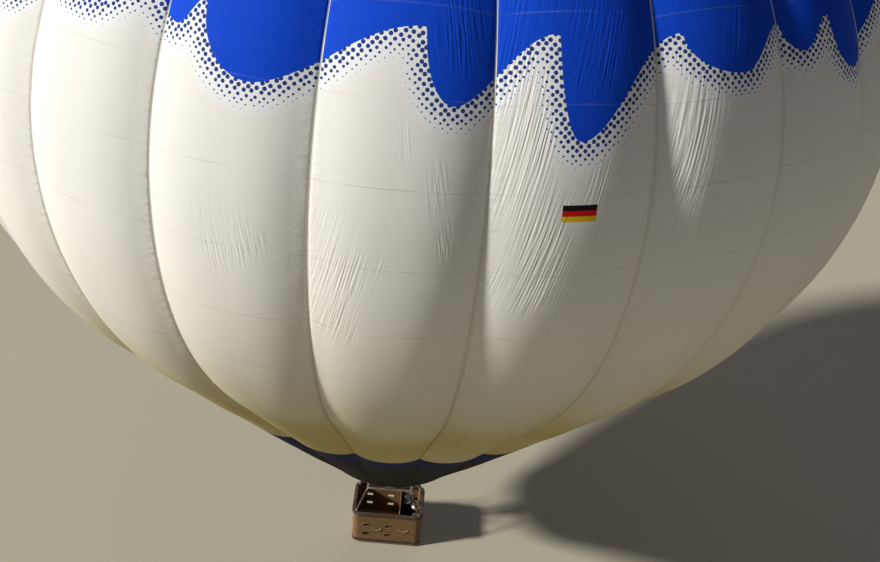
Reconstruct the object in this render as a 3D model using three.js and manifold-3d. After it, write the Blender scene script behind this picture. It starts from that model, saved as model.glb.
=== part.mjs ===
// A hot air balloon of about 5,000 cubic metres, inflated and upright, in millimetres with +Z up.
// The origin is on the vertical axis at the height of the envelope's widest circle.
import * as THREE from "three";
import { mergeVertices } from "three/addons/utils/BufferGeometryUtils.js";
import Module from "manifold-3d";

const wasm = await Module();
wasm.setup();

// Envelope: a straight cone above the mouth, an arc up to the widest circle, a flattened dome over it
const GORES = 24;
const WIDEST_RADIUS = 11000;
const MOUTH_RADIUS = 2200;
const CONE_ANGLE = THREE.MathUtils.degToRad(41.8);
const CONE_LENGTH = 10000;
const DOME_HEIGHT = 8250;
const SHELL = 10;
const GORE_BULGE = 260;
const BULGE_FADE = 3200;
const VENT_RADIUS = 3300;
const VENT_LAP = 400;
const SEAM_GAP = 0.4;
const SEAT_GAP = 0.5;

// Crown: a ring at the very top holds the tapes that cross the vent
const CROWN_RING_RADIUS = 150;
const CROWN_RING_BAR = 45;
const TAPE_WIDTH = 50;
const TAPE_START_GAP = 1.3;

// Mouth and flying wires
const MOUTH_CABLE_RADIUS = 20;
const WIRE_RADIUS = 5;

// Load frame, level with the burner's pivots
const FRAME_X = 700;
const FRAME_Y = 520;
const FRAME_CORNER = 80;
const FRAME_CORNER_INSET = 24;
const FRAME_TUBE_RADIUS = 22;
const MOUTH_ABOVE_FRAME = 1620;

// Basket
const BASKET_LENGTH = 2200;
const BASKET_WIDTH = 1500;
const BASKET_CORNER = 200;
const WALL = 40;
const WALL_HEIGHT = 1100;
const FLOOR_THICKNESS = 20;
const RUNNER_HEIGHT = 60;
const RUNNER_WIDTH = 70;
const RIM_WIDTH = 110;
const RIM_HEIGHT = 80;
const RIM_SWELL = 8;
const POST_RADIUS = 40;
const POST_INTO_WALL = 15;
const POST_ABOVE_RIM = 20;
const FRAME_ABOVE_FLOOR = 2050;
const PARTITION_X = 380;
const PARTITION_THICKNESS = 40;
const PARTITION_HEIGHT = 960;
const FOOTHOLD_WIDTH = 200;
const FOOTHOLD_HEIGHT = 120;

// Gap between solids that touch on the real thing
const TOUCH = 0.3;

// Levels worked out from the sizes above
const LOWER_ARC_RADIUS =
  (WIDEST_RADIUS - MOUTH_RADIUS - CONE_LENGTH * Math.sin(CONE_ANGLE)) / (1 - Math.cos(CONE_ANGLE));
const MOUTH_Z = -(CONE_LENGTH * Math.cos(CONE_ANGLE) + LOWER_ARC_RADIUS * Math.sin(CONE_ANGLE));
const FRAME_Z = MOUTH_Z - MOUTH_ABOVE_FRAME;
const FLOOR_TOP_Z = FRAME_Z - FRAME_ABOVE_FLOOR;
const FLOOR_Z = FLOOR_TOP_Z - FLOOR_THICKNESS;
const WALL_TOP_Z = FLOOR_TOP_Z + TOUCH + WALL_HEIGHT;
const RIM_TOP_Z = WALL_TOP_Z + TOUCH + RIM_HEIGHT;

// Colours: [colour, roughness, metalness]
const MATERIALS = {
  cream: [0xf2eee0, 0.6, 0],
  blue: [0x1c3fae, 0.6, 0],
  navy: [0x10142e, 0.75, 0],
  tape: [0xd8d2c0, 0.7, 0],
  steel: [0xb9bcc0, 0.35, 1],
  aluminium: [0xc4c8cc, 0.4, 0.9],
  brass: [0xb08d45, 0.35, 0.9],
  wicker: [0xa9773f, 0.8, 0],
  leather: [0x3b2417, 0.6, 0],
  plywood: [0xb88a54, 0.7, 0],
  wood: [0x8a5d33, 0.75, 0],
};

const balloon = new THREE.Group();
const UP = new THREE.Vector3(0, 0, 1);

function addPiece(name, geometry, materialName) {
  const [color, roughness, metalness] = MATERIALS[materialName];
  const mesh = new THREE.Mesh(geometry, new THREE.MeshStandardMaterial({ color, roughness, metalness }));
  mesh.name = name;
  balloon.add(mesh);
}

function vector(x, y, z) {
  return new THREE.Vector3(x, y, z);
}

function aroundAxis(radius, angle, z) {
  return vector(radius * Math.cos(angle), radius * Math.sin(angle), z);
}

// A geometry from shared points and the faces that join them
function geometryFrom(points, faces) {
  const geometry = new THREE.BufferGeometry();
  geometry.setAttribute("position", new THREE.Float32BufferAttribute(points.flatMap((p) => p.toArray()), 3));
  geometry.setIndex(faces);
  return geometry;
}

// Boolean joins and cuts
function solidOf(geometry) {
  const bare = geometry.clone();
  bare.deleteAttribute("normal");
  bare.deleteAttribute("uv");
  const merged = mergeVertices(bare, 1e-3);
  const mesh = new wasm.Mesh({
    numProp: 3,
    vertProperties: new Float32Array(merged.attributes.position.array),
    triVerts: new Uint32Array(merged.index.array),
  });
  return new wasm.Manifold(mesh);
}

function geometryOf(solid) {
  const mesh = solid.getMesh();
  const geometry = new THREE.BufferGeometry();
  geometry.setAttribute("position", new THREE.BufferAttribute(new Float32Array(mesh.vertProperties), 3));
  geometry.setIndex(new THREE.BufferAttribute(new Uint32Array(mesh.triVerts), 1));
  return geometry;
}

function joined(geometries) {
  return geometryOf(geometries.map(solidOf).reduce((whole, next) => whole.add(next)));
}

function cut(geometry, tools) {
  return geometryOf(tools.map(solidOf).reduce((left, tool) => left.subtract(tool), solidOf(geometry)));
}

// A section swept through stations, each with an origin and two directions; closed rings have no end caps
function swept(section, stations, closed) {
  const points = [];
  const faces = [];
  const count = section.length;
  for (const { origin, across, along } of stations)
    for (const [x, y] of section) {
      const point = origin.clone().addScaledVector(across, x);
      points.push(point.addScaledVector(along, y));
    }
  const spans = closed ? stations.length : stations.length - 1;
  for (let i = 0; i < spans; i += 1) {
    const here = i * count;
    const next = ((i + 1) % stations.length) * count;
    for (let j = 0; j < count; j += 1) {
      const k = (j + 1) % count;
      faces.push(here + j, here + k, next + k, here + j, next + k, next + j);
    }
  }
  if (!closed) {
    const last = (stations.length - 1) * count;
    for (let j = 1; j < count - 1; j += 1) {
      faces.push(0, j + 1, j);
      faces.push(last, last + j, last + j + 1);
    }
  }
  return geometryFrom(points, faces);
}

function circleSection(radius, sides, turn = 0) {
  return Array.from({ length: sides }, (_, i) => {
    const angle = turn + (i * 2 * Math.PI) / sides;
    return [radius * Math.cos(angle), radius * Math.sin(angle)];
  });
}

// A straight round bar from a to b
function rod(a, b, radius, sides = 8) {
  const direction = b.clone().sub(a).normalize();
  const helper = Math.abs(direction.z) > 0.9 ? vector(1, 0, 0) : UP;
  const across = new THREE.Vector3().crossVectors(helper, direction).normalize();
  const along = new THREE.Vector3().crossVectors(direction, across);
  return swept(circleSection(radius, sides), [a, b].map((origin) => ({ origin, across, along })), false);
}

// A box from its middle and its sizes, turned about Z
function block(middle, [x, y, z], turn = 0) {
  return new THREE.BoxGeometry(x, y, z).rotateZ(turn).translate(middle.x, middle.y, middle.z);
}

// A rounded rectangle as a list of plan points with outward directions, anticlockwise
function roundedPlan(halfX, halfY, corner, steps) {
  const plan = [];
  const corners = [
    [1, 1, 0],
    [-1, 1, 90],
    [-1, -1, 180],
    [1, -1, 270],
  ];
  for (const [signX, signY, start] of corners)
    for (let i = 0; i <= steps; i += 1) {
      const angle = THREE.MathUtils.degToRad(start + (90 * i) / steps);
      const outward = vector(Math.cos(angle), Math.sin(angle), 0);
      const middle = vector(signX * (halfX - corner), signY * (halfY - corner), 0);
      plan.push({ point: middle.addScaledVector(outward, corner), outward });
    }
  return plan;
}

// A ring that follows a rounded rectangle at one level, with its section given as outward and upward steps
function planRing(halfX, halfY, corner, steps, level, section) {
  const stations = roundedPlan(halfX, halfY, corner, steps).map(({ point, outward }) => ({
    origin: point.setZ(level),
    across: outward,
    along: UP,
  }));
  return swept(section.toReversed(), stations, true);
}

function plate(halfX, halfY, corner, steps, bottom, thickness) {
  const shape = new THREE.Shape(
    roundedPlan(halfX, halfY, corner, steps).map(({ point }) => new THREE.Vector2(point.x, point.y)),
  );
  return new THREE.ExtrudeGeometry(shape, { depth: thickness, bevelEnabled: false }).translate(0, 0, bottom);
}

// The meridian of the load tapes: radius, height and outward normal, from the mouth to the vent's edge
function domePoint(angle) {
  const normal = new THREE.Vector2(Math.cos(angle) / WIDEST_RADIUS, Math.sin(angle) / DOME_HEIGHT).normalize();
  return { r: WIDEST_RADIUS * Math.cos(angle), z: DOME_HEIGHT * Math.sin(angle), nr: normal.x, nz: normal.y };
}

function domeAngleAt(radius) {
  return Math.acos(radius / WIDEST_RADIUS);
}

const VENT_ANGLE = domeAngleAt(VENT_RADIUS);
const LAP_ANGLE = domeAngleAt(VENT_RADIUS + VENT_LAP);
const CONE_STEPS = 2;
const ARC_STEPS = 4;
const DOME_STEPS = 5;

function meridianRows() {
  const rows = [];
  const nr = Math.cos(CONE_ANGLE);
  const nz = -Math.sin(CONE_ANGLE);
  for (let i = 0; i < CONE_STEPS; i += 1) {
    const length = (CONE_LENGTH * i) / CONE_STEPS;
    rows.push({ r: MOUTH_RADIUS - length * nz, z: MOUTH_Z + length * nr, nr, nz });
  }
  for (let i = 0; i < ARC_STEPS; i += 1) {
    const angle = CONE_ANGLE * (1 - i / ARC_STEPS);
    const r = WIDEST_RADIUS - LOWER_ARC_RADIUS * (1 - Math.cos(angle));
    rows.push({ r, z: -LOWER_ARC_RADIUS * Math.sin(angle), nr: Math.cos(angle), nz: -Math.sin(angle) });
  }
  for (let i = 0; i < DOME_STEPS; i += 1) rows.push(domePoint((LAP_ANGLE * i) / DOME_STEPS));
  rows.push(domePoint(LAP_ANGLE), domePoint(VENT_ANGLE));
  let length = 0;
  rows.forEach((row, i) => {
    if (i > 0) length += Math.hypot(row.r - rows[i - 1].r, row.z - rows[i - 1].z);
    row.length = length;
  });
  return rows;
}

const MERIDIAN = meridianRows();

// How far a gore swells past its tapes: nothing at the mouth and under the vent's lap
function bulgeAt(row) {
  const lapLength = MERIDIAN.at(-2).length;
  const fromEnds = Math.min(row.length, lapLength - row.length);
  const fade = THREE.MathUtils.smoothstep(fromEnds, 0, BULGE_FADE);
  return GORE_BULGE * (row.r / WIDEST_RADIUS) * fade;
}

const ACROSS_GORE = 4;

// One gore: a bulging shell between two load tapes
function gore(firstAngle) {
  const points = [];
  const faces = [];
  const columns = ACROSS_GORE + 1;
  const step = (2 * Math.PI) / GORES;
  const layerSize = MERIDIAN.length * columns;
  for (const depth of [0, SHELL])
    for (const row of MERIDIAN)
      for (let j = 0; j < columns; j += 1) {
        const share = j / ACROSS_GORE;
        const swell = bulgeAt(row) * 4 * share * (1 - share) - depth;
        const halfGap = (SEAM_GAP / 2 / row.r) * (1 - 2 * share);
        const angle = firstAngle + step * share + halfGap;
        points.push(aroundAxis(row.r + row.nr * swell, angle, row.z + row.nz * swell));
      }
  const quad = (a, b, c, d) => faces.push(a, b, c, a, c, d);
  for (let i = 0; i < MERIDIAN.length - 1; i += 1)
    for (let j = 0; j < ACROSS_GORE; j += 1) {
      const corner = i * columns + j;
      quad(corner, corner + 1, corner + columns + 1, corner + columns);
      const inner = corner + layerSize;
      quad(inner, inner + columns, inner + columns + 1, inner + 1);
    }
  for (let i = 0; i < MERIDIAN.length - 1; i += 1) {
    const first = i * columns;
    const last = first + ACROSS_GORE;
    quad(first, first + columns, first + columns + layerSize, first + layerSize);
    quad(last, last + layerSize, last + columns + layerSize, last + columns);
  }
  for (let j = 0; j < ACROSS_GORE; j += 1) {
    const top = (MERIDIAN.length - 1) * columns + j;
    quad(j, j + layerSize, j + 1 + layerSize, j + 1);
    quad(top, top + 1, top + 1 + layerSize, top + layerSize);
  }
  return geometryFrom(points, faces);
}

const GORE_STEP = (2 * Math.PI) / GORES;

// Load tapes run at the odd half steps, so that each corner of the frame carries six of them
function tapeAngle(i) {
  return (i + 0.5) * GORE_STEP;
}

for (let i = 0; i < GORES; i += 1)
  addPiece(`gore_${String(i + 1).padStart(2, "0")}`, gore(tapeAngle(i - 1)), "cream");

// Crown ring with the load tapes that cross the vent
const CROWN_STEPS = 3;

function crownAngles(first) {
  const last = domeAngleAt(CROWN_RING_RADIUS);
  return Array.from({ length: CROWN_STEPS + 1 }, (_, i) => first + ((last - first) * i) / CROWN_STEPS);
}

function crownTape(angle) {
  const side = vector(-Math.sin(angle), Math.cos(angle), 0);
  const gapAngle = TAPE_START_GAP / WIDEST_RADIUS;
  const stations = crownAngles(VENT_ANGLE + gapAngle).map((domeAngle) => {
    const { r, z, nr, nz } = domePoint(domeAngle);
    return { origin: aroundAxis(r, angle, z), across: side, along: aroundAxis(nr, angle, nz) };
  });
  const section = [
    [-TAPE_WIDTH / 2, -SHELL],
    [TAPE_WIDTH / 2, -SHELL],
    [TAPE_WIDTH / 2, 0],
    [-TAPE_WIDTH / 2, 0],
  ];
  return swept(section.toReversed(), stations, false);
}

function crownRing() {
  const half = CROWN_RING_BAR / 2;
  const profile = [
    new THREE.Vector2(CROWN_RING_RADIUS - half, -SHELL),
    new THREE.Vector2(CROWN_RING_RADIUS + half, -SHELL),
    new THREE.Vector2(CROWN_RING_RADIUS + half, SHELL),
    new THREE.Vector2(CROWN_RING_RADIUS - half, SHELL),
    new THREE.Vector2(CROWN_RING_RADIUS - half, -SHELL),
  ];
  return new THREE.LatheGeometry(profile, 24).rotateX(Math.PI / 2).translate(0, 0, DOME_HEIGHT);
}

const crownTapes = Array.from({ length: GORES }, (_, i) => crownTape(tapeAngle(i)));
addPiece("crown_ring_and_tapes", joined([crownRing(), ...crownTapes]), "tape");

// Parachute valve: a thin dome that seats from inside under the vent's edge and the crossing tapes
const VALVE_SIDES = 2 * GORES;

function valveDome() {
  const angles = [LAP_ANGLE, VENT_ANGLE, ...crownAngles(VENT_ANGLE).slice(1)];
  const layer = (depth) =>
    angles.map((angle) => {
      const { r, z, nr, nz } = domePoint(angle);
      return new THREE.Vector2(r - nr * depth, z - nz * depth);
    });
  const outerDepth = SHELL + SEAT_GAP;
  const innerDepth = outerDepth + SHELL;
  const profile = [
    new THREE.Vector2(0, DOME_HEIGHT - innerDepth - SHELL),
    ...layer(innerDepth).toReversed(),
    ...layer(outerDepth),
    new THREE.Vector2(0, DOME_HEIGHT - outerDepth - SHELL),
  ];
  const lathe = new THREE.LatheGeometry(profile, VALVE_SIDES);
  return lathe.rotateX(Math.PI / 2).rotateZ(GORE_STEP / 2);
}

addPiece("parachute_valve", valveDome(), "blue");

// Cable in the hem of the mouth, just below the gores
const MERIDIAN_DOWN = new THREE.Vector2(-Math.sin(CONE_ANGLE), -Math.cos(CONE_ANGLE));
const CABLE_SIDES = 6;
const CABLE_FLAT = MOUTH_CABLE_RADIUS * Math.cos(Math.PI / CABLE_SIDES);
const CABLE_OFFSET = TOUCH + CABLE_FLAT;
const CABLE_R = MOUTH_RADIUS + MERIDIAN_DOWN.x * CABLE_OFFSET - (SHELL / 2) * Math.cos(CONE_ANGLE);
const CABLE_Z = MOUTH_Z + MERIDIAN_DOWN.y * CABLE_OFFSET + (SHELL / 2) * Math.sin(CONE_ANGLE);

function mouthCable() {
  const stations = Array.from({ length: 2 * GORES }, (_, i) => {
    const angle = (i * GORE_STEP) / 2 + GORE_STEP / 2;
    return {
      origin: aroundAxis(CABLE_R, angle, CABLE_Z),
      across: aroundAxis(Math.cos(CONE_ANGLE), angle, -Math.sin(CONE_ANGLE)),
      along: aroundAxis(Math.sin(CONE_ANGLE), angle, Math.cos(CONE_ANGLE)),
    };
  });
  return swept(circleSection(MOUTH_CABLE_RADIUS, CABLE_SIDES).toReversed(), stations, true);
}

addPiece("mouth_cable", mouthCable(), "navy");

// Load frame: a tube rectangle with a clevis and a pole socket at each corner and two pivot bosses
const CORNERS = [
  ["front_right", 1, -1],
  ["back_right", 1, 1],
  ["back_left", -1, 1],
  ["front_left", -1, -1],
];
const CLEVIS_HEIGHT = 70;
const CLEVIS_THICKNESS = 10;
const CLEVIS_WIDTH = 50;
const CLEVIS_GAP = 22;
const PIN_RADIUS = 9;
const PIN_ABOVE_FRAME = 60;
const SOCKET_LENGTH = 110;
const SOCKET_RADIUS = 30;
const SLEEVE_RADIUS = 38;
const PIVOT_RADIUS = 14;
const BOSS_RADIUS = 28;
const BOSS_LENGTH = 30;
const GIMBAL_RADIUS = 400;
const GIMBAL_BAR = 18;
const PIVOT_GAP = 0.5;

function frameCorner(signX, signY) {
  return vector(signX * (FRAME_X - FRAME_CORNER_INSET), signY * (FRAME_Y - FRAME_CORNER_INSET), FRAME_Z);
}

// The top of each corner post in the basket, where a pole's lower socket stands
function postMiddle(signX, signY) {
  const reach = (BASKET_CORNER - WALL + POST_INTO_WALL - POST_RADIUS) * Math.SQRT1_2;
  const middleX = BASKET_LENGTH / 2 - BASKET_CORNER + reach;
  const middleY = BASKET_WIDTH / 2 - BASKET_CORNER + reach;
  return vector(signX * middleX, signY * middleY, RIM_TOP_Z + POST_ABOVE_RIM);
}

function poleDirection(signX, signY) {
  return frameCorner(signX, signY).sub(postMiddle(signX, signY)).normalize();
}

function clevis(signX, signY) {
  const corner = frameCorner(signX, signY);
  const turn = Math.atan2(signY, signX);
  const side = vector(-Math.sin(turn), Math.cos(turn), 0);
  const offset = (CLEVIS_GAP + CLEVIS_THICKNESS) / 2;
  const cheek = (sign) => {
    const middle = corner.clone().addScaledVector(side, sign * offset);
    middle.z += CLEVIS_HEIGHT / 2;
    return block(middle, [CLEVIS_WIDTH, CLEVIS_THICKNESS, CLEVIS_HEIGHT], turn);
  };
  const pin = corner.clone().setZ(FRAME_Z + PIN_ABOVE_FRAME);
  const ends = [-offset, offset].map((distance) => pin.clone().addScaledVector(side, distance));
  const seat = block(corner, [CLEVIS_WIDTH, CLEVIS_GAP + 2 * CLEVIS_THICKNESS, 2 * FRAME_TUBE_RADIUS], turn);
  return [cheek(-1), cheek(1), seat, rod(ends[0], ends[1], PIN_RADIUS, 8)];
}

function loadFrame() {
  const section = circleSection(FRAME_TUBE_RADIUS, 8);
  const pieces = [planRing(FRAME_X, FRAME_Y, FRAME_CORNER, 2, FRAME_Z, section)];
  for (const [, signX, signY] of CORNERS) {
    const corner = frameCorner(signX, signY);
    const end = corner.clone().addScaledVector(poleDirection(signX, signY), -SOCKET_LENGTH);
    pieces.push(...clevis(signX, signY), rod(corner, end, SOCKET_RADIUS, 8));
  }
  for (const sign of [-1, 1]) {
    const outer = vector(sign * FRAME_X, 0, FRAME_Z);
    const inner = vector(sign * (FRAME_X - FRAME_TUBE_RADIUS - BOSS_LENGTH), 0, FRAME_Z);
    pieces.push(rod(outer, inner, BOSS_RADIUS));
  }
  return joined(pieces);
}

addPiece("load_frame", loadFrame(), "steel");

// Flying wires: six to each corner, joined in the ferrule over a link that hangs on the clevis pin
const LINK_WIDTH = 66;
const LINK_HEIGHT = 130;
const LINK_BAR = 14;
const FERRULE_RADIUS = 26;
const FERRULE_HEIGHT = 50;

function stadium(width, height, steps = 6) {
  const radius = width / 2;
  const points = [];
  for (let i = 0; i <= steps; i += 1) {
    const angle = (Math.PI * i) / steps;
    points.push([radius * Math.cos(angle), height / 2 - radius + radius * Math.sin(angle)]);
  }
  for (let i = 0; i <= steps; i += 1) {
    const angle = Math.PI + (Math.PI * i) / steps;
    points.push([radius * Math.cos(angle), radius - height / 2 + radius * Math.sin(angle)]);
  }
  return points.map(([x, y]) => new THREE.Vector2(x, y));
}

function wireFan(signX, signY) {
  const corner = frameCorner(signX, signY);
  const turn = Math.atan2(signY, signX);
  const pinBottom = FRAME_Z + PIN_ABOVE_FRAME - PIN_RADIUS;
  const linkMiddle = pinBottom - TOUCH - LINK_BAR + LINK_HEIGHT / 2;
  const outline = new THREE.Shape(stadium(LINK_WIDTH, LINK_HEIGHT));
  outline.holes.push(new THREE.Path(stadium(LINK_WIDTH - 2 * LINK_BAR, LINK_HEIGHT - 2 * LINK_BAR)));
  const link = new THREE.ExtrudeGeometry(outline, { depth: LINK_BAR, bevelEnabled: false })
    .translate(0, 0, -LINK_BAR / 2)
    .rotateX(Math.PI / 2)
    .rotateZ(turn)
    .translate(corner.x, corner.y, linkMiddle);
  const ferruleBottom = corner.clone().setZ(linkMiddle + LINK_HEIGHT / 2 - LINK_BAR / 2);
  const ferruleTop = ferruleBottom.clone().setZ(ferruleBottom.z + FERRULE_HEIGHT);
  const gather = ferruleBottom.clone().lerp(ferruleTop, 0.6);
  const pieces = [link, rod(ferruleBottom, ferruleTop, FERRULE_RADIUS, 10)];
  for (let i = 0; i < GORES; i += 1) {
    const angle = tapeAngle(i);
    if (Math.sign(Math.cos(angle)) !== signX || Math.sign(Math.sin(angle)) !== signY) continue;
    const flatNormal = aroundAxis(MERIDIAN_DOWN.x, angle, MERIDIAN_DOWN.y);
    const onFlat = aroundAxis(CABLE_R, angle, CABLE_Z).addScaledVector(flatNormal, CABLE_FLAT);
    const tilt = gather.clone().sub(onFlat).angleTo(flatNormal);
    const start = onFlat.addScaledVector(flatNormal, TOUCH + WIRE_RADIUS * Math.sin(tilt));
    pieces.push(rod(start, gather, WIRE_RADIUS, 6));
  }
  return joined(pieces);
}

for (const [place, signX, signY] of CORNERS) addPiece(`flying_wires_${place}`, wireFan(signX, signY), "steel");

// Burner gimbal: the ring turns about X in the load frame, the burners turn about Y in the ring
function gimbalRing() {
  const stations = Array.from({ length: 28 }, (_, i) => {
    const angle = (i * 2 * Math.PI) / 28;
    return { origin: aroundAxis(GIMBAL_RADIUS, angle, FRAME_Z), across: aroundAxis(1, angle, 0), along: UP };
  });
  const pieces = [swept(circleSection(GIMBAL_BAR, 8).toReversed(), stations, true)];
  const pinEnd = FRAME_X - FRAME_TUBE_RADIUS - BOSS_LENGTH - PIVOT_GAP;
  for (const sign of [-1, 1]) {
    pieces.push(rod(vector(sign * GIMBAL_RADIUS, 0, FRAME_Z), vector(sign * pinEnd, 0, FRAME_Z), PIVOT_RADIUS));
    const outer = vector(0, sign * GIMBAL_RADIUS, FRAME_Z);
    const inner = vector(0, sign * (GIMBAL_RADIUS - GIMBAL_BAR - BOSS_LENGTH), FRAME_Z);
    pieces.push(rod(outer, inner, BOSS_RADIUS, 12));
  }
  return joined(pieces);
}

addPiece("burner_gimbal_ring", gimbalRing(), "steel");

const BURNER_X = 165;
const CAN_RADIUS = 140;
const CAN_HEIGHT = 380;
const CAN_WALL = 8;
const BLOCK_SIZE = [600, 150, 70];
const VALVE_BODY = [70, 120, 80];
const VALVE_LAP = 10;
const HANDLE_RADIUS = 11;
const HANDLE_REACH = 160;
const HANDLE_DROP = 60;
const INLET_RADIUS = 16;
const INLET_REACH = 130;
const JET_RADIUS = 45;
const JET_HEIGHT = 45;
const JET_ROOT = 5;

function burnerBlock() {
  const middle = vector(0, 0, FRAME_Z);
  const pinEnd = GIMBAL_RADIUS - GIMBAL_BAR - BOSS_LENGTH - PIVOT_GAP;
  const pieces = [block(middle, BLOCK_SIZE)];
  for (const sign of [-1, 1]) {
    pieces.push(rod(middle, vector(0, sign * pinEnd, FRAME_Z), PIVOT_RADIUS));
    const valve = vector(sign * BURNER_X, 0, FRAME_Z - BLOCK_SIZE[2] / 2 - VALVE_BODY[2] / 2 + VALVE_LAP);
    pieces.push(block(valve, VALVE_BODY));
    const handleTop = valve.clone().setY(VALVE_LAP - VALVE_BODY[1] / 2);
    const handleEnd = handleTop.clone().add(vector(0, -HANDLE_REACH, -HANDLE_DROP));
    pieces.push(rod(handleTop, handleEnd, HANDLE_RADIUS));
    pieces.push(rod(valve, valve.clone().setY(INLET_REACH), INLET_RADIUS));
    const jet = vector(sign * BURNER_X, 0, FRAME_Z + BLOCK_SIZE[2] / 2 - JET_ROOT);
    pieces.push(rod(jet, jet.clone().setZ(jet.z + JET_ROOT + JET_HEIGHT), JET_RADIUS, 12));
  }
  return joined(pieces);
}

addPiece("burner_block", burnerBlock(), "brass");

// A burner can: an open-ended steel shield standing on two feet over the block
const CAN_FEET_HEIGHT = 45;
const FOOT_THICKNESS = 12;
const FOOT_WIDTH = 60;
const FOOT_INSET = 4;
const FOOT_LAP = 10;

function burnerCan(x) {
  const bottom = FRAME_Z + BLOCK_SIZE[2] / 2 + TOUCH + CAN_FEET_HEIGHT;
  const top = bottom + CAN_HEIGHT;
  const inner = CAN_RADIUS - CAN_WALL;
  const profile = [
    new THREE.Vector2(inner, bottom),
    new THREE.Vector2(CAN_RADIUS, bottom),
    new THREE.Vector2(CAN_RADIUS, top),
    new THREE.Vector2(inner, top),
    new THREE.Vector2(inner, bottom),
  ];
  const wall = new THREE.LatheGeometry(profile, 20).rotateX(Math.PI / 2).translate(x, 0, 0);
  const bars = [-1, 1].map((sign) =>
    block(vector(x + sign * (inner - FOOT_INSET), 0, bottom + (FOOT_LAP - CAN_FEET_HEIGHT) / 2), [
      FOOT_THICKNESS,
      FOOT_WIDTH,
      CAN_FEET_HEIGHT + FOOT_LAP,
    ]),
  );
  return joined([wall, ...bars]);
}

// The fuel coil inside the can, where the burning jet vaporises it
const COIL_RADIUS = 95;
const COIL_TUBE = 9;
const COIL_TURNS = 4;
const COIL_STEPS = 10;
const COIL_LIFT = 60;

function fuelCoil(x) {
  const bottom = FRAME_Z + BLOCK_SIZE[2] / 2 + TOUCH + COIL_TUBE;
  const count = COIL_TURNS * COIL_STEPS;
  const rise = CAN_HEIGHT - COIL_LIFT;
  const spiral = [];
  for (let i = 0; i <= count; i += 1) {
    const angle = (2 * Math.PI * i) / COIL_STEPS;
    const outward = aroundAxis(1, angle, 0);
    const origin = vector(x, 0, bottom + COIL_LIFT + (rise * i) / count).addScaledVector(outward, COIL_RADIUS);
    spiral.push({ origin, across: outward, along: UP });
  }
  const coil = swept(circleSection(COIL_TUBE, 6).toReversed(), spiral, false);
  const foot = vector(x + COIL_RADIUS, 0, bottom - COIL_TUBE);
  return joined([coil, rod(foot, foot.clone().setZ(bottom + COIL_LIFT), COIL_TUBE, 6)]);
}

for (const [side, sign] of [
  ["left", -1],
  ["right", 1],
]) {
  addPiece(`burner_can_${side}`, burnerCan(sign * BURNER_X), "steel");
  addPiece(`burner_coil_${side}`, fuelCoil(sign * BURNER_X), "steel");
}

// Poles in padded sleeves between the basket and the load frame
const LOWER_SOCKET = 70;
const SOCKET_ROOT = 20;

function pole(signX, signY) {
  const direction = poleDirection(signX, signY);
  const bottom = postMiddle(signX, signY).addScaledVector(direction, LOWER_SOCKET + TOUCH);
  const top = frameCorner(signX, signY).addScaledVector(direction, -SOCKET_LENGTH - TOUCH);
  return rod(bottom, top, SLEEVE_RADIUS, 10);
}

for (const [place, signX, signY] of CORNERS) addPiece(`pole_${place}`, pole(signX, signY), "leather");

// Basket: woven wall with corner posts and footholds, floor, runners, rim and partition
const FOOTHOLDS = [
  { x: -650, height: 330 },
  { x: -650, height: 690 },
  { x: 50, height: 330 },
  { x: 50, height: 690 },
];
const WALL_BOTTOM_Z = FLOOR_TOP_Z + TOUCH;
const CORNER_STEPS = 4;

function basketWall() {
  const section = [
    [-WALL, 0],
    [0, 0],
    [0, WALL_HEIGHT],
    [-WALL, WALL_HEIGHT],
  ];
  const halfX = BASKET_LENGTH / 2;
  const halfY = BASKET_WIDTH / 2;
  const wall = planRing(halfX, halfY, BASKET_CORNER, CORNER_STEPS, WALL_BOTTOM_Z, section);
  const posts = CORNERS.flatMap(([, signX, signY]) => {
    const top = postMiddle(signX, signY);
    const direction = poleDirection(signX, signY);
    const root = top.clone().addScaledVector(direction, -SOCKET_ROOT);
    const socket = top.clone().addScaledVector(direction, LOWER_SOCKET);
    return [rod(top.clone().setZ(WALL_BOTTOM_Z), top, POST_RADIUS, 10), rod(root, socket, SOCKET_RADIUS, 10)];
  });
  const holes = FOOTHOLDS.flatMap(({ x, height }) =>
    [-1, 1].map((side) => {
      const middle = vector(x, side * (halfY - WALL / 2), WALL_BOTTOM_Z + height);
      return block(middle, [FOOTHOLD_WIDTH, 3 * WALL, FOOTHOLD_HEIGHT]);
    }),
  );
  return cut(joined([wall, ...posts]), holes);
}

addPiece("basket_wall", basketWall(), "wicker");

function rimPad() {
  const half = RIM_WIDTH / 2;
  const section = [
    [-half, 0],
    [half, 0],
    [half + RIM_SWELL, RIM_HEIGHT * 0.45],
    [half * 0.6, RIM_HEIGHT],
    [-half * 0.6, RIM_HEIGHT],
    [-half - RIM_SWELL, RIM_HEIGHT * 0.45],
  ];
  const inset = WALL / 2;
  const pad = planRing(
    BASKET_LENGTH / 2 - inset,
    BASKET_WIDTH / 2 - inset,
    BASKET_CORNER - inset,
    CORNER_STEPS,
    WALL_TOP_Z + TOUCH,
    section,
  );
  const posts = CORNERS.map(([, signX, signY]) => {
    const top = postMiddle(signX, signY);
    return rod(top.clone().setZ(WALL_TOP_Z - 50), top.clone().setZ(top.z + 100), POST_RADIUS + SEAT_GAP, 10);
  });
  return cut(pad, posts);
}

addPiece("rim_pad", rimPad(), "leather");
addPiece(
  "basket_floor",
  plate(BASKET_LENGTH / 2, BASKET_WIDTH / 2, BASKET_CORNER, CORNER_STEPS, FLOOR_Z, FLOOR_THICKNESS),
  "plywood",
);

const RUNNERS = [
  { name: "front", y: -520 },
  { name: "middle", y: 0 },
  { name: "back", y: 520 },
];

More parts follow.
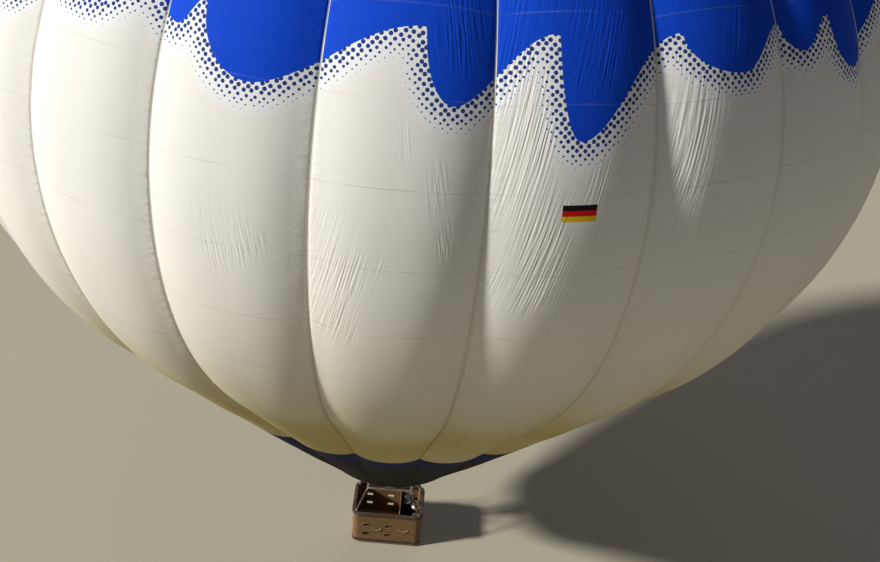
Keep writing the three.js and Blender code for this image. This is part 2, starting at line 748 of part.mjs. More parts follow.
for (const { name, y } of RUNNERS) {
  const middle = vector(0, y, FLOOR_Z - TOUCH - RUNNER_HEIGHT / 2);
  addPiece(`runner_${name}`, block(middle, [BASKET_LENGTH - 160, RUNNER_WIDTH, RUNNER_HEIGHT]), "wood");
}

const partitionMiddle = vector(PARTITION_X, 0, FLOOR_TOP_Z + TOUCH + PARTITION_HEIGHT / 2);
const partitionWidth = BASKET_WIDTH - 2 * WALL - 2 * TOUCH;
addPiece(
  "basket_partition",
  block(partitionMiddle, [PARTITION_THICKNESS, partitionWidth, PARTITION_HEIGHT]),
  "wicker",
);

// Fuel cylinders stand on the floor in the pilot's end of the basket
const CYLINDER_RADIUS = 170;
const CYLINDER_HEIGHT = 880;
const COLLAR_RADIUS = 95;
const COLLAR_HEIGHT = 110;
const COLLAR_WALL = 8;
const SHOULDER_HEIGHT = 90;
const FOOT_CHAMFER = [20, 40];
const TAP_RADIUS = 28;
const TAP_BELOW_COLLAR = 35;
const CYLINDERS = [
  { name: "front_inner", x: PARTITION_X + 200, y: -535 },
  { name: "front_outer", x: PARTITION_X + 505, y: -300 },
  { name: "back_inner", x: PARTITION_X + 200, y: 535 },
  { name: "back_outer", x: PARTITION_X + 505, y: 300 },
];

function fuelCylinder(x, y) {
  const neck = CYLINDER_HEIGHT - COLLAR_HEIGHT;
  const tapTop = CYLINDER_HEIGHT - TAP_BELOW_COLLAR;
  const profile = [
    [0, 0],
    [CYLINDER_RADIUS - FOOT_CHAMFER[0], 0],
    [CYLINDER_RADIUS, FOOT_CHAMFER[1]],
    [CYLINDER_RADIUS, neck - SHOULDER_HEIGHT],
    [CYLINDER_RADIUS * 0.86, neck - SHOULDER_HEIGHT / 3],
    [COLLAR_RADIUS, neck],
    [COLLAR_RADIUS, CYLINDER_HEIGHT],
    [COLLAR_RADIUS - COLLAR_WALL, CYLINDER_HEIGHT],
    [COLLAR_RADIUS - COLLAR_WALL, neck + COLLAR_WALL],
    [TAP_RADIUS, neck + COLLAR_WALL],
    [TAP_RADIUS, tapTop],
    [0, tapTop],
  ].map(([r, z]) => new THREE.Vector2(r, z));
  return new THREE.LatheGeometry(profile, 16).rotateX(Math.PI / 2).translate(x, y, FLOOR_TOP_Z + TOUCH);
}

for (const { name, x, y } of CYLINDERS) addPiece(`fuel_cylinder_${name}`, fuelCylinder(x, y), "aluminium");

export default balloon;
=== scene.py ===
from math import atan2, radians, sqrt

import bmesh
import bpy
import numpy as np
from mathutils import Matrix, Vector
from numpy import cos, pi, sin


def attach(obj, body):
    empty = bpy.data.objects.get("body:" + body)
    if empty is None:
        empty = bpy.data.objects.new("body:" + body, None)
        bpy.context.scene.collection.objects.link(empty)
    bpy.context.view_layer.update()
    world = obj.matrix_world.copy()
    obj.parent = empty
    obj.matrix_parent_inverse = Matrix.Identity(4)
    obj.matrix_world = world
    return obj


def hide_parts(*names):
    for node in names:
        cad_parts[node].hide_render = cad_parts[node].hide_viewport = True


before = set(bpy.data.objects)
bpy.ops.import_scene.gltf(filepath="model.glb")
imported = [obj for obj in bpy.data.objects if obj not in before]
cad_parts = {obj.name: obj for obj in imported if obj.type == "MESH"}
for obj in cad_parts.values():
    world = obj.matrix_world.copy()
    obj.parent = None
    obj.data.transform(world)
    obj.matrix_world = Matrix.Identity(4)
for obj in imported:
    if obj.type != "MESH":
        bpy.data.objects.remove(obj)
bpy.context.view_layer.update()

TURN = 2 * pi
RANDOM = np.random.default_rng(24)
X, Y, UP = np.eye(3)

# Sizes in metres, as in the part's source
GORES = 24
STEP = TURN / GORES
WIDEST = 11.0
MOUTH_RADIUS = 2.2
CONE = radians(41.8)
CONE_LENGTH = 10.0
DOME = 8.25
BULGE = 0.26
BULGE_FADE = 3.2
VENT_RADIUS = 3.3
LAP_RADIUS = 3.7
ARC_RADIUS = (WIDEST - MOUTH_RADIUS - CONE_LENGTH * sin(CONE)) / (1 - cos(CONE))
MOUTH_Z = -(CONE_LENGTH * cos(CONE) + ARC_RADIUS * sin(CONE))
FRAME_Z = MOUTH_Z - 1.62
HUB = UP * FRAME_Z
FLOOR_TOP = FRAME_Z - 2.05
GROUND = FLOOR_TOP - 0.0803
FIT = 0.0003

# Camera: turned with the envelope, so that it sees the balloon from the photograph's side
CAMERA_AT = (0.553, -26.394, 8.30)
CAMERA_YAW, CAMERA_PITCH, CAMERA_ROLL = radians(0.9), radians(-30.4), radians(5.5)
CAMERA_LENS = 43.9


def add_object(name, data):
    obj = bpy.data.objects.new(name, data)
    bpy.context.scene.collection.objects.link(obj)
    return obj


def make_camera():
    data = bpy.data.cameras.new("camera")
    data.lens = CAMERA_LENS
    data.sensor_width = 36
    data.clip_end = 500
    camera = add_object("camera", data)
    camera.matrix_world = Matrix.Translation(CAMERA_AT)
    for angle, axis in ((-CAMERA_YAW, "Z"), (CAMERA_PITCH + pi / 2, "X"), (CAMERA_ROLL, "Z")):
        camera.matrix_world = camera.matrix_world @ Matrix.Rotation(angle, 4, axis)
    bpy.context.scene.camera = camera


make_camera()


def math_method(operation):
    return lambda wire, *other: wire.paint.math(operation, wire, *other)


class Wire:
    """A node's output; arithmetic with it adds Math nodes to its material."""

    __add__, __sub__, __mul__ = map(math_method, ("ADD", "SUBTRACT", "MULTIPLY"))
    __gt__, __lt__, __abs__ = map(math_method, ("GREATER_THAN", "LESS_THAN", "ABSOLUTE"))

    def __init__(self, paint, socket):
        self.paint, self.socket = paint, socket

    def __rsub__(self, other):
        return self.paint.math("SUBTRACT", other, self)


class Paint:
    """Short calls for one material's nodes: an input is a number, a colour or a Wire."""

    def __init__(self, name, **plain):
        self.material = bpy.data.materials.new(name)
        self.material.use_nodes = True
        self.tree = self.material.node_tree
        self.shader = self.tree.nodes["Principled BSDF"]
        for key, value in plain.items():
            self.set(key.replace("_", " ").title().replace("Ior", "IOR"), value)

    def feed(self, socket, value):
        if isinstance(value, Wire):
            self.tree.links.new(value.socket, socket)
        elif socket.type == "RGBA":
            socket.default_value = (*value, 1)
        else:
            socket.default_value = value

    def set(self, name, value):
        self.feed(self.shader.inputs[name], value)

    def add(self, kind, *values, out=0, **named):
        """A new node from its inputs and settings: its output of number out, or all of them for None."""
        node = self.tree.nodes.new("ShaderNode" + kind)
        for key, value in named.items():
            if key in node.inputs:
                self.feed(node.inputs[key], value)
            else:
                setattr(node, key, value)
        for socket, value in zip(node.inputs, values):
            if value is not None:
                self.feed(socket, value)
        wires = [Wire(self, socket) for socket in node.outputs]
        return wires if out is None else wires[out]

    def math(self, operation, *values):
        return self.add("Math", *values, operation=operation)

    def ramp(self, value, low, high, to_low=0.0, to_high=1.0):
        return self.add("MapRange", value, low, high, to_low, to_high, interpolation_type="SMOOTHSTEP")

    def mix(self, share, first, second):
        return self.add("Mix", share, *[None] * 5, first, second, out=2, data_type="RGBA")

    def uv(self, name):
        return self.add("UVMap", uv_map=name)

    def split(self, vector):
        return self.add("SeparateXYZ", vector, out=None)

    def join(self, x, y, z=0.0):
        return self.add("CombineXYZ", x, y, z)

    def place(self, vector, scale=(1, 1, 1), turn=0):
        return self.add("Mapping", Vector=vector, Scale=scale, Rotation=(0, 0, radians(turn)))

    def noise(self, vector, scale, detail=2.0, roughness=0.5):
        return self.add("TexNoise", Vector=vector, Scale=scale, Detail=detail, Roughness=roughness)

    def object_place(self):
        return self.add("TexCoord", out=3)

    def done(self, color, height, depth, roughness=None):
        """The material, with its colour, a relief that is depth metres deep and perhaps its roughness."""
        self.set("Base Color", color)
        self.set("Normal", self.add("Bump", Height=height, Distance=depth))
        if roughness is not None:
            self.set("Roughness", roughness)
        return self.material


def shaded(color, times, plus=0.0):
    return tuple(min(1, times * c + plus) for c in color)


def unit(vectors):
    return vectors / np.linalg.norm(vectors, axis=-1, keepdims=True)


def turns(count):
    """count even angles round a circle."""
    return np.arange(count) * TURN / count


def polar(radius, angle, z=0.0):
    """Points about Z, as x, y, z in the last axis."""
    return np.stack(np.broadcast_arrays(radius * cos(angle), radius * sin(angle), z), -1)


def oval(middle, first, second, count):
    angle = turns(count)[:, None]
    return middle + first * cos(angle) + second * sin(angle)


def pairs(x, y):
    return np.stack(np.broadcast_arrays(x, y), -1).reshape(-1, 2)


def lengths(path):
    """Length along a path at each of its points."""
    return np.append(0, np.cumsum(np.linalg.norm(np.diff(path, axis=0), axis=1)))


def resample(values, length, at):
    return np.stack([np.interp(at, length, column) for column in np.asarray(values).T], -1)


# Shapes are pairs of points and faces
def merge(*parts):
    points, faces, start = [], [], 0
    for part_points, part_faces in parts:
        points.append(np.asarray(part_points, float).reshape(-1, 3))
        faces += [tuple(start + i for i in face) for face in part_faces]
        start += len(points[-1])
    return np.vstack(points), faces


def piece(name, parts, material, replaces=None, body="balloon", uvs=None, sharp=None):
    """One object from shapes, riding on a body, in the place of a CAD node where one is named."""
    points, faces = merge(*parts)
    mesh = bpy.data.meshes.new(name)
    mesh.from_pydata(points.tolist(), [], faces)
    corners = np.empty(len(mesh.loops), np.int32)
    mesh.loops.foreach_get("vertex_index", corners)
    for key, values in (uvs or {}).items():
        layer = mesh.uv_layers.new(name=key)
        layer.uv.foreach_set("vector", np.asarray(values, np.float32)[corners].ravel())
    mesh.validate()
    mesh.shade_smooth()
    if sharp:
        mesh.set_sharp_from_angle(angle=radians(sharp))
    mesh.materials.append(material)
    obj = add_object(name, mesh)
    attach(obj, body)
    if replaces:
        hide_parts(replaces)
    return obj


def grid_faces(rows, columns, start=0, flip=False, around=False):
    """Quads over a grid of rows by columns whose points are numbered row by row."""
    faces = []
    for i in range(rows - 1):
        for j in range(columns if around else columns - 1):
            a, b = start + i * columns + j, start + i * columns + (j + 1) % columns
            c, d = b + columns, a + columns
            faces.append((a, d, c, b) if flip else (a, b, c, d))
    return faces


def skin(rows, closed=False):
    """A shape from rows of points that run round it; its ends are capped, or joined where closed."""
    rows = np.asarray(rows, float)
    count, sides = rows.shape[:2]
    faces = grid_faces(count, sides, around=True)
    last = (count - 1) * sides
    if closed:
        faces += [(last + j, last + (j + 1) % sides, (j + 1) % sides, j) for j in range(sides)]
    else:
        faces += [tuple(reversed(range(sides))), tuple(range(last, last + sides))]
    return rows.reshape(-1, 3), faces


def tube(path, radius, sides=10, closed=False, flat=1.0, up=UP):
    """A round bar along a path; flat squeezes it along the direction that starts nearest to up."""
    path = np.asarray(path, float)
    if closed:
        ahead = unit(np.roll(path, -1, 0) - np.roll(path, 1, 0))
    else:
        ahead = unit(np.gradient(path, axis=0))
    side = up
    if abs(side @ ahead[0]) > 0.95:
        side = X if abs(ahead[0, 0]) < 0.9 else Y
    first = []
    for direction in ahead:
        side = unit(side - direction * (side @ direction))
        first.append(side)
    second = np.cross(ahead, first)[:, None]
    first = np.array(first)[:, None]
    radius = np.broadcast_to(radius, len(path))[:, None, None]
    angle = turns(sides)[:, None]
    points, faces = skin(path[:, None] + radius * (flat * cos(angle) * first + sin(angle) * second), closed)
    return points, [face[1:] + face[:1] for face in faces]


def bar(middle, direction, steps, sides=12):
    """A straight round bar from steps of distance along a direction and radius."""
    distances, radii = np.array(steps).T
    return tube(middle + direction * distances[:, None], radii, sides)


def rod(middle, direction, low, high, radius, sides=12):
    return bar(middle, direction, ((low, radius), (high, radius)), sides)


def rope(path, radius):
    """Three strands twisted round a path, with a full turn in six radii."""
    length = lengths(path)
    at = np.linspace(0, length[-1], int(length[-1] / (0.6 * radius)) + 2)
    path = resample(path, length, at)
    ahead = unit(np.gradient(path, axis=0))
    side = unit(np.cross(ahead, (0.3, 0.2, 1.0)))
    other = np.cross(ahead, side)
    strands = []
    for start in range(3):
        turn = (TURN * at / (6 * radius) + TURN * start / 3)[:, None]
        strands.append(tube(path + 0.5 * radius * (side * cos(turn) + other * sin(turn)), 0.52 * radius, 5))
    return merge(*strands)


def lathe(profile, sides, at, closed=False):
    """A turned shape about Z: profile is (radius, height) with the outside on its right going up."""
    r, z = np.array(profile, float).T[..., None]
    points, faces = skin(polar(r, turns(sides), z), closed)
    return points + at, faces


def block(middle, size, bevel=0.004, turn=0.0):
    """A box with rounded edges, turned about Z."""
    made = bmesh.new()
    bmesh.ops.create_cube(made, size=1, matrix=Matrix.Diagonal((*size, 1)))
    bmesh.ops.bevel(made, geom=made.edges[:], offset=bevel, segments=2, affect="EDGES", profile=0.5)
    spin = Matrix.Translation(middle) @ Matrix.Rotation(turn, 4, "Z")
    points = [tuple(spin @ v.co) for v in made.verts]
    faces = [tuple(v.index for v in face.verts) for face in made.faces]
    made.free()
    return points, faces


def round_plan(half_x, half_y, corner, count, level=0.0):
    """count even points round a rounded rectangle, and their outward directions."""
    dense, out = [], []
    for sign_x, sign_y, start in ((1, 1, 0), (-1, 1, 90), (-1, -1, 180), (1, -1, 270)):
        out.append(polar(1, np.radians(start + np.linspace(0, 90, 13))))
        dense.append(corner * out[-1] + (sign_x * (half_x - corner), sign_y * (half_y - corner), level))
    dense, out = (np.vstack([*rows, rows[0][:1]]) for rows in (dense, out))
    length = lengths(dense)
    at = np.arange(count) / count * length[-1]
    return resample(dense, length, at), unit(resample(out, length, at))


def meridian_table():
    """The meridian of the load tapes by its length from the mouth: radius, height, outward normal."""
    s = np.linspace(0, CONE_LENGTH, 50, endpoint=False)
    lean = CONE + 0 * s
    cone = (s, MOUTH_RADIUS + s * sin(CONE), MOUTH_Z + s * cos(CONE), cos(lean), -sin(lean))
    share = np.linspace(0, 1, 400, endpoint=False)
    lean = CONE * (1 - share)
    s = CONE_LENGTH + ARC_RADIUS * CONE * share
    arc = (s, WIDEST - ARC_RADIUS * (1 - cos(lean)), -ARC_RADIUS * sin(lean), cos(lean), -sin(lean))
    t = np.linspace(0, pi / 2, 1500)
    line = np.stack([WIDEST * cos(t), DOME * sin(t)], -1)
    normal = unit(line / (WIDEST**2, DOME**2))
    dome = (CONE_LENGTH + ARC_RADIUS * CONE + lengths(line), *line.T, *normal.T)
    return np.hstack([cone, arc, dome]).T


TABLE = meridian_table()
TOP_S = TABLE[-1, 0]


def meridian(s):
    return [np.interp(s, TABLE[:, 0], column) for column in TABLE[:, 1:].T]


def length_at(radius):
    upper = TABLE[len(TABLE) // 3 :]
    return np.interp(-radius, -upper[:, 1], upper[:, 0])


VENT_S = float(length_at(VENT_RADIUS))
LAP_S = length_at(LAP_RADIUS)


def smoothstep(x, low, high):
    t = np.clip((x - low) / (high - low), 0, 1)
    return t * t * (3 - 2 * t)


def swell(s):
    """How far the middle of a gore stands out past its tapes."""
    return BULGE * meridian(s)[0] / WIDEST * smoothstep(np.minimum(s, LAP_S - s), 0, BULGE_FADE)


def arch(share):
    """Cross-section of a gore from seam to seam, 1 in its middle."""
    return 1 - np.abs(2 * share - 1) ** 2.5


def on_balloon(angle, s, lift):
    """Points lift metres outside the tapes' meridian."""
    r, z, nr, nz = meridian(s)
    return polar(r + nr * lift, angle, z + nz * lift)


# Envelope cloth: cloth widths of 1.395 m along the meridian, each sewn to the next by a level seam
CLOTH_WIDTH = 1.395
ROWS_A_WIDTH = 11
SEAM_SHIFT = 2 * CLOTH_WIDTH / ROWS_A_WIDTH
GORE_COLUMNS = 24
CLOTH_THICK = 0.005
SEAM_HALF_GAP = 0.0002
CLOTH_ROWS = np.append(np.arange(0, VENT_S - 0.05, CLOTH_WIDTH / ROWS_A_WIDTH), VENT_S)


def soft_noise(shape, size, seed):
    """Smooth random values over a grid of shape, with features about size cells wide."""
    source = np.random.default_rng(seed)
    coarse = source.normal(size=(int(shape[0] / size[0]) + 3, int(shape[1] / size[1]) + 3))
    y, x = (np.arange(count) / wide for count, wide in zip(shape, size))
    iy, ix = y.astype(int), x.astype(int)
    fy = smoothstep(y - iy, 0, 1)[:, None]
    fx = smoothstep(x - ix, 0, 1)
    low, high = (coarse[i][:, ix] * (1 - fx) + coarse[i][:, ix + 1] * fx for i in (iy, iy + 1))
    return low * (1 - fy) + high * fy


def cloth_relief(index, share, s):
    """Puckers along the seams, soft swells over the cloth and a slight pull at each level seam."""
    shape = (s.size, share.size)
    from_seam = meridian(s)[0] * STEP * np.minimum(share, 1 - share)
    near = from_seam / 0.13 * np.exp(1 - from_seam / 0.13)
    pucker = soft_noise(shape, (1.6, 5), 100 + index) * 0.003
    broad = soft_noise(shape, (9, 6), 200 + index) * 0.006
    widths = (s - SEAM_SHIFT) / CLOTH_WIDTH
    level = -0.003 * (np.abs(widths - np.round(widths)) < 0.01)
    ends = smoothstep(np.minimum(s, LAP_S - s), 0, 1.2)
    return ends * (near * pucker + sin(pi * share) * (broad + level))


def make_gore(index, material):
    column = np.linspace(0, 1, GORE_COLUMNS + 1)
    share = 0.5 * column + 0.25 * (1 - cos(pi * column))
    s = CLOTH_ROWS[:, None]
    r = meridian(s)[0]
    lift = swell(s) * arch(share) + cloth_relief(index, share, s)
    angle = (index - 0.5) * STEP + STEP * share + SEAM_HALF_GAP / r * (1 - 2 * share)
    points = np.stack([on_balloon(angle, s, lift), on_balloon(angle, s, lift - CLOTH_THICK)])
    rows, columns = lift.shape
    count = rows * columns
    faces = grid_faces(rows, columns) + grid_faces(rows, columns, count, flip=True)
    cell = np.arange(count).reshape(rows, columns)
    edge = np.concatenate([cell[0, :-1], cell[:-1, -1], cell[-1, :0:-1], cell[:0:-1, 0]])
    far = np.roll(edge, -1)
    faces += np.stack([edge, edge + count, far + count, far], -1).tolist()
    # At a seam the edge of the blue is measured a hair inside the gore, where its own lobe counts
    above = above_edge(*pairs(share + index + 1e-4 * (1 - 2 * share), s).T)
    shares = pairs(share + index, s)
    uvs = {
        "metres": pairs((share - 0.5) * r * STEP + 10 * index, s),
        "shares": shares,
        "edge": pairs(above, creased(*shares.T)),
    }
    uvs = {key: np.tile(values, (2, 1)) for key, values in uvs.items()}
    name = f"gore_{index + 1:02d}"
    cloth = piece(name + "_cloth", [(points, faces)], material, name, uvs=uvs)


# Lower edge of the blue: lobes in a run of eight gores, each steep on its left and easing up to its right
EDGE_TOP = 19.5
EDGE_MIDDLE, EDGE_HALF = 18.7, 1.6
EDGE_RUN = 8
EDGE_LOBES = (  # left end, lowest point and right end in gores, height of the lowest point along the meridian
    (0.10, 0.50, 0.96, 19.03),
    (0.96, 1.12, 1.29, 19.02),
    (1.29, 1.62, 2.59, 18.35),
    (2.59, 2.77, 3.36, 18.34),
    (3.36, 3.49, 4.17, 17.86),
    (4.17, 4.60, 5.02, 18.78),
    (5.02, 5.20, 5.45, 18.96),
    (5.45, 5.72, 6.45, 18.44),
    (6.45, 6.70, 7.30, 18.60),
    (7.30, 7.75, 8.10, 18.70),
)
GORE_AT_EDGE = 10.75 * STEP
FAR_FROM_EDGE = 3.0


def edge_line():
    """The edge over three runs as points in gores and metres."""
    x, y = [], []
    turn = np.linspace(0, pi / 2, 14, endpoint=False)
    share = np.linspace(0, 1, 18, endpoint=False)
    for left, low, right, level in EDGE_LOBES:
        x += [*(low - (low - left) * cos(turn)), *(low + (right - low) * share)]
        rise = (*(1 - sin(turn)), *(0.5 - 0.5 * cos(pi * share**0.85)))
        y += [level + (EDGE_TOP - level) * up for up in rise]
    return np.concatenate([np.array(x) + run * EDGE_RUN for run in (-1, 0, 1)]), np.tile(y, 3)


EDGE_X, EDGE_Y = edge_line()


def above_edge(share, s):
    """Signed distance in metres of points on the cloth from the edge of the blue, above it positive."""
    at = share % EDGE_RUN
    out = np.clip(s - EDGE_TOP, -FAR_FROM_EDGE, FAR_FROM_EDGE)
    line = np.stack([EDGE_X * GORE_AT_EDGE, EDGE_Y], -1)
    start, step = line[:-1], np.diff(line, axis=0)
    size = (step * step).sum(-1) + 1e-12
    close = np.flatnonzero(np.abs(s - EDGE_MIDDLE) < EDGE_HALF)
    for chunk in np.array_split(close, max(1, len(close) // 500)):
        point = np.stack([at[chunk] * GORE_AT_EDGE, s[chunk]], -1)[:, None]
        along = np.clip(((point - start) * step).sum(-1) / size, 0, 1)
        gap = np.linalg.norm(point - start - along[..., None] * step, axis=-1).min(1)
        out[chunk] = np.where(s[chunk] > np.interp(at[chunk], EDGE_X, EDGE_Y), gap, -gap)
    return out


CREASES = (  # middle in gores and metres, half width and height, strength: below 0 they slant the other way
    (1.55, 15.75, 0.30, 1.20, -0.55),
    (2.17, 15.25, 0.28, 1.60, 0.65),
    (2.51, 17.85, 0.09, 0.75, -0.55),
    (2.70, 16.95, 0.09, 0.65, -0.60),
    (2.78, 16.20, 0.08, 0.70, -0.55),
    (2.80, 19.60, 0.26, 1.20, -0.55),
    (3.15, 18.20, 0.24, 2.20, 0.90),
    (3.30, 16.10, 0.22, 1.60, 0.75),
    (3.09, 15.60, 0.12, 1.10, 0.65),
    (3.62, 17.30, 0.16, 0.70, 0.55),
    (3.55, 19.60, 0.36, 1.60, 0.60),
    (4.20, 17.60, 0.26, 2.10, 0.75),
    (4.55, 19.80, 0.30, 1.10, 0.50),
    (5.18, 18.00, 0.20, 1.50, 0.55),
    (6.30, 16.40, 0.25, 1.20, 0.50),
    (7.40, 16.80, 0.22, 1.10, -0.50),
)


def creased(share, s):
    """How strongly the cloth is creased at points on it."""
    weight = 0.32 * smoothstep(s, 20.5, 22.5)
    for middle, level, wide, high, strength in CREASES:
        off = (share - middle + EDGE_RUN / 2) % EDGE_RUN - EDGE_RUN / 2
        bump = strength * np.clip(1.25 - np.hypot(off / wide, (s - level) / high), 0, 1)
        weight = np.where(np.abs(bump) > np.abs(weight), bump, weight)
    return weight


# Colours of the envelope
CREAM = (0.85, 0.83, 0.77)
# A heat tan towards the mouth, made darker and yellower as painted shade
TAN_AND_SHADE = (0.38, 0.30, 0.085)
TAN_AND_SHADE_SPAN = (15.3, 8.3)  # where the tan and painted shade start and where they are full, along the meridian
BLUE = (0.007, 0.066, 0.60)
NAVY = (0.007, 0.009, 0.055)
SOOT = (0.011, 0.010, 0.006)
FRINGE = 0.60
FRINGE_GROUND = (0.89, 0.92, 0.96)
DOT = (0.02, 0.055, 0.25)
DOT_PITCH = 0.098
SEAM_ON_CREAM = (0.33, 0.27, 0.13)
SEAM_ON_BLUE = (0.25, 0.38, 0.8)
FLAG_PLACE = (190.03, 16.75, 0.0)  # ten for each gore before it, and metres from the gore's middle
FLAG_WIDE, FLAG_HIGH = 0.58, 0.28
FLAG_BLACK, FLAG_RED, FLAG_GOLD = (0.012, 0.011, 0.012), (0.62, 0.012, 0.010), (0.85, 0.52, 0.02)

# Thin cloth glows on its far side
THIN_CLOTH = {"subsurface_weight": 0.30, "subsurface_radius": (1.0, 1.0, 1.0), "subsurface_scale": 0.02}


def envelope_paint():
    p = Paint("envelope_fabric", roughness=0.65, specular_ior_level=0.04, **THIN_CLOTH)
    metres = p.uv("metres")
    share, s, _ = p.split(p.uv("shares"))
    u = p.math("FRACT", share)
    above, strength, _ = p.split(p.uv("edge"))
    # Cream cloth, tanned and darkened with painted shade towards the mouth, whiter in the fringe, with a
    # slightly curved level seam a width
    tan_and_shade = p.ramp(s, *TAN_AND_SHADE_SPAN) * p.ramp(p.noise(metres, 0.35, 4.0), 0.2, 0.75, 0.8, 1.0)
    ground = p.mix(tan_and_shade, CREAM, TAN_AND_SHADE)
    ground = p.mix(p.ramp(above, -FRINGE, -FRINGE / 2) * 0.7, ground, FRINGE_GROUND)
    widths = (s - SEAM_SHIFT - u * (1.0 - u) * 0.2) * (1 / CLOTH_WIDTH)
    from_level = abs(p.math("FRACT", widths + 0.5) - 0.5)
    level = p.ramp(from_level, 0.014, 0.006) * p.ramp(p.noise(metres, 0.9, 2.0), 0.35, 0.65, 0.15, 1.0)
    ground = p.mix(level * 0.13, ground, SEAM_ON_CREAM)
    # Dots that shrink away from the blue
    cell = p.place(metres, scale=(1 / DOT_PITCH, 1 / DOT_PITCH, 1), turn=45)
    reach = p.add("TexVoronoi", Vector=cell, Scale=1.0, Randomness=0.3, voronoi_dimensions="2D")
    color = p.mix(reach < p.ramp(above, -FRINGE, -0.05, 0.0, 0.41) - 0.04, ground, DOT)
    color = p.mix(above > 0.0, color, p.mix(level * 0.16, BLUE, SEAM_ON_BLUE))
    # Three dark cloth widths at the mouth, and a navy one above them
    color = p.mix(widths < 4.0, color, NAVY)
    color = p.mix(widths < 3.0, color, SOOT)
    # A sewn-on flag of three plain bars on one gore
    x, y, _ = p.split(p.add("VectorMath", metres, FLAG_PLACE, operation="SUBTRACT"))
    bars = p.mix(y > -FLAG_HIGH / 6, FLAG_GOLD, FLAG_RED)
    bars = p.mix(y > FLAG_HIGH / 6, bars, FLAG_BLACK)
    color = p.mix((abs(x) < FLAG_WIDE / 2) * (abs(y) < FLAG_HIGH / 2), color, bars)
    # Fine creases that slant off the upright, in the patches of the table
    heights = []
    for way, turn, length in ((1, 13, 0.9), (-1, -10, 1.6)):
        slanted = p.place(metres, turn=turn)
        wave = p.noise(p.place(slanted, scale=(25, length, 1)), 1.0, 1.0, 0.4)
        patch = p.math("MULTIPLY_ADD", p.noise(slanted, 1.1, 2.0) - 0.5, 1.1, strength * way)
        heights.append((wave - 0.5) * p.ramp(patch, 0.12, 1.0))
    pucker = p.noise(p.place(metres, scale=(3, 9, 1)), 1.0, 2.0) * p.ramp(abs(u - 0.5), 0.40, 0.5)
    return p.done(color, heights[0] + heights[1] + pucker * 0.8 + level * 0.1, 0.030)


ENVELOPE = envelope_paint()
for gore_index in range(GORES):
    make_gore(gore_index, ENVELOPE)


# Load tapes in the valleys between gores, on over the vent and round the crown ring
TAPE_WIDTH = 0.032
# The lower tape colour is a tan with painted shade, as on the cloth near the mouth
TAPE_UPPER, TAPE_TAN_AND_SHADE = (0.76, 0.74, 0.66), (0.35, 0.275, 0.085)
TAPE_ON_BLUE, TAPE_AT_MOUTH = (0.45, 0.52, 0.72), (0.014, 0.013, 0.018)


def tape_paint():
    p = Paint("load_tape", roughness=0.75, specular_ior_level=0.2)
    x, s, _ = p.split(p.uv("metres"))
    # Tan and painted shade towards the mouth, as on the cloth
    color = p.mix(p.ramp(s, *TAN_AND_SHADE_SPAN), TAPE_UPPER, TAPE_TAN_AND_SHADE)
    color = p.mix(p.ramp(s, EDGE_TOP - 0.5, EDGE_TOP), color, TAPE_ON_BLUE)
    color = p.mix(p.ramp(s, 5.85, 5.80), color, TAPE_AT_MOUTH)
    stitch = p.ramp(abs(abs(x) - 0.013), 0.003, 0.001)
    return p.done(color, p.math("SINE", s * 2400.0) * 0.4 + stitch, 0.0006)


TAPE = tape_paint()


def make_tapes():
    s = np.append(CLOTH_ROWS[::2], np.linspace(VENT_S + 0.05, length_at(0.16), 14))
    s = np.unique(np.round(s, 5))[:, None]
    r = meridian(s)[0]
    half = np.minimum(TAPE_WIDTH / 2, 0.40 * r * STEP)
    # Six points round the tape: their side of its middle and their height over the seam
    side = np.array((-1, 0, 1, 1, 0, -1))
    lift = np.array((0.004, 0.003, 0.004, -0.001, -0.002, -0.001))
    lift = lift + swell(s) * arch(half / (r * STEP)) * np.abs(side)
    tapes = [skin(on_balloon((index + 0.5) * STEP + side * half / r, s, lift)) for index in range(GORES)]
    uvs = {"metres": np.tile(pairs(side * half, s), (GORES, 1))}
    piece("load_tapes", tapes, TAPE, "crown_ring_and_tapes", uvs=uvs, sharp=40)


make_tapes()


def metal_paint(name, color, roughness):
    p = Paint(name, metallic=1.0)
    place = p.object_place()
    cloud = p.noise(place, 9.0, 5.0)
    brushed = p.noise(p.place(place, scale=(60, 60, 900)), 1.0, 3.0)
    rough = p.ramp(cloud + brushed * 0.3, 0.3, 0.9, roughness - 0.1, roughness + 0.15)
    return p.done(p.mix(p.ramp(cloud, 0.35, 0.75), shaded(color, 0.7), color), brushed, 0.0004, rough)


def leather_paint(name, color):
    p = Paint(name, specular_ior_level=0.4)
    place = p.object_place()
    cells = p.add("TexVoronoi", Vector=place, Scale=260.0)
    wear = p.noise(place, 5.0, 6.0)
    color = p.mix(p.ramp(wear, 0.45, 0.8), color, shaded(color, 2.1, 0.02))
    return p.done(color, cells + wear * 2.0, 0.0012, p.ramp(wear, 0.3, 0.8, 0.62, 0.42))


def wood_paint(name, color, along, ply=0.0):
    """Grain that runs along one axis; ply adds the edge layers of plywood."""
    p = Paint(name, specular_ior_level=0.3)
    place = p.object_place()
    scale = [30.0, 30.0, 30.0]
    scale[along] = 1.6
    bend = p.noise(place, 2.0, 2.0) * 0.08
    warped = p.add("VectorMath", place, p.join(bend, bend, bend), operation="ADD")
    grain = p.noise(p.place(warped, scale=scale), 1.0, 5.0, 0.6)
    shade = p.mix(p.ramp(grain, 0.35, 0.68), shaded(color, 0.5), color)
    shade = p.mix(p.ramp(p.noise(place, 3.5, 6.0), 0.55, 0.75), shade, shaded(color, 0.6, 0.08))
    if ply:
        layer = p.math("FRACT", p.split(place)[2] * (1 / ply)) > 0.5
        shade = p.mix(layer * 0.25, shade, shaded(color, 0.45))
    return p.done(shade, grain, 0.0015, p.ramp(grain, 0.3, 0.8, 0.75, 0.55))


STRAND = 0.018


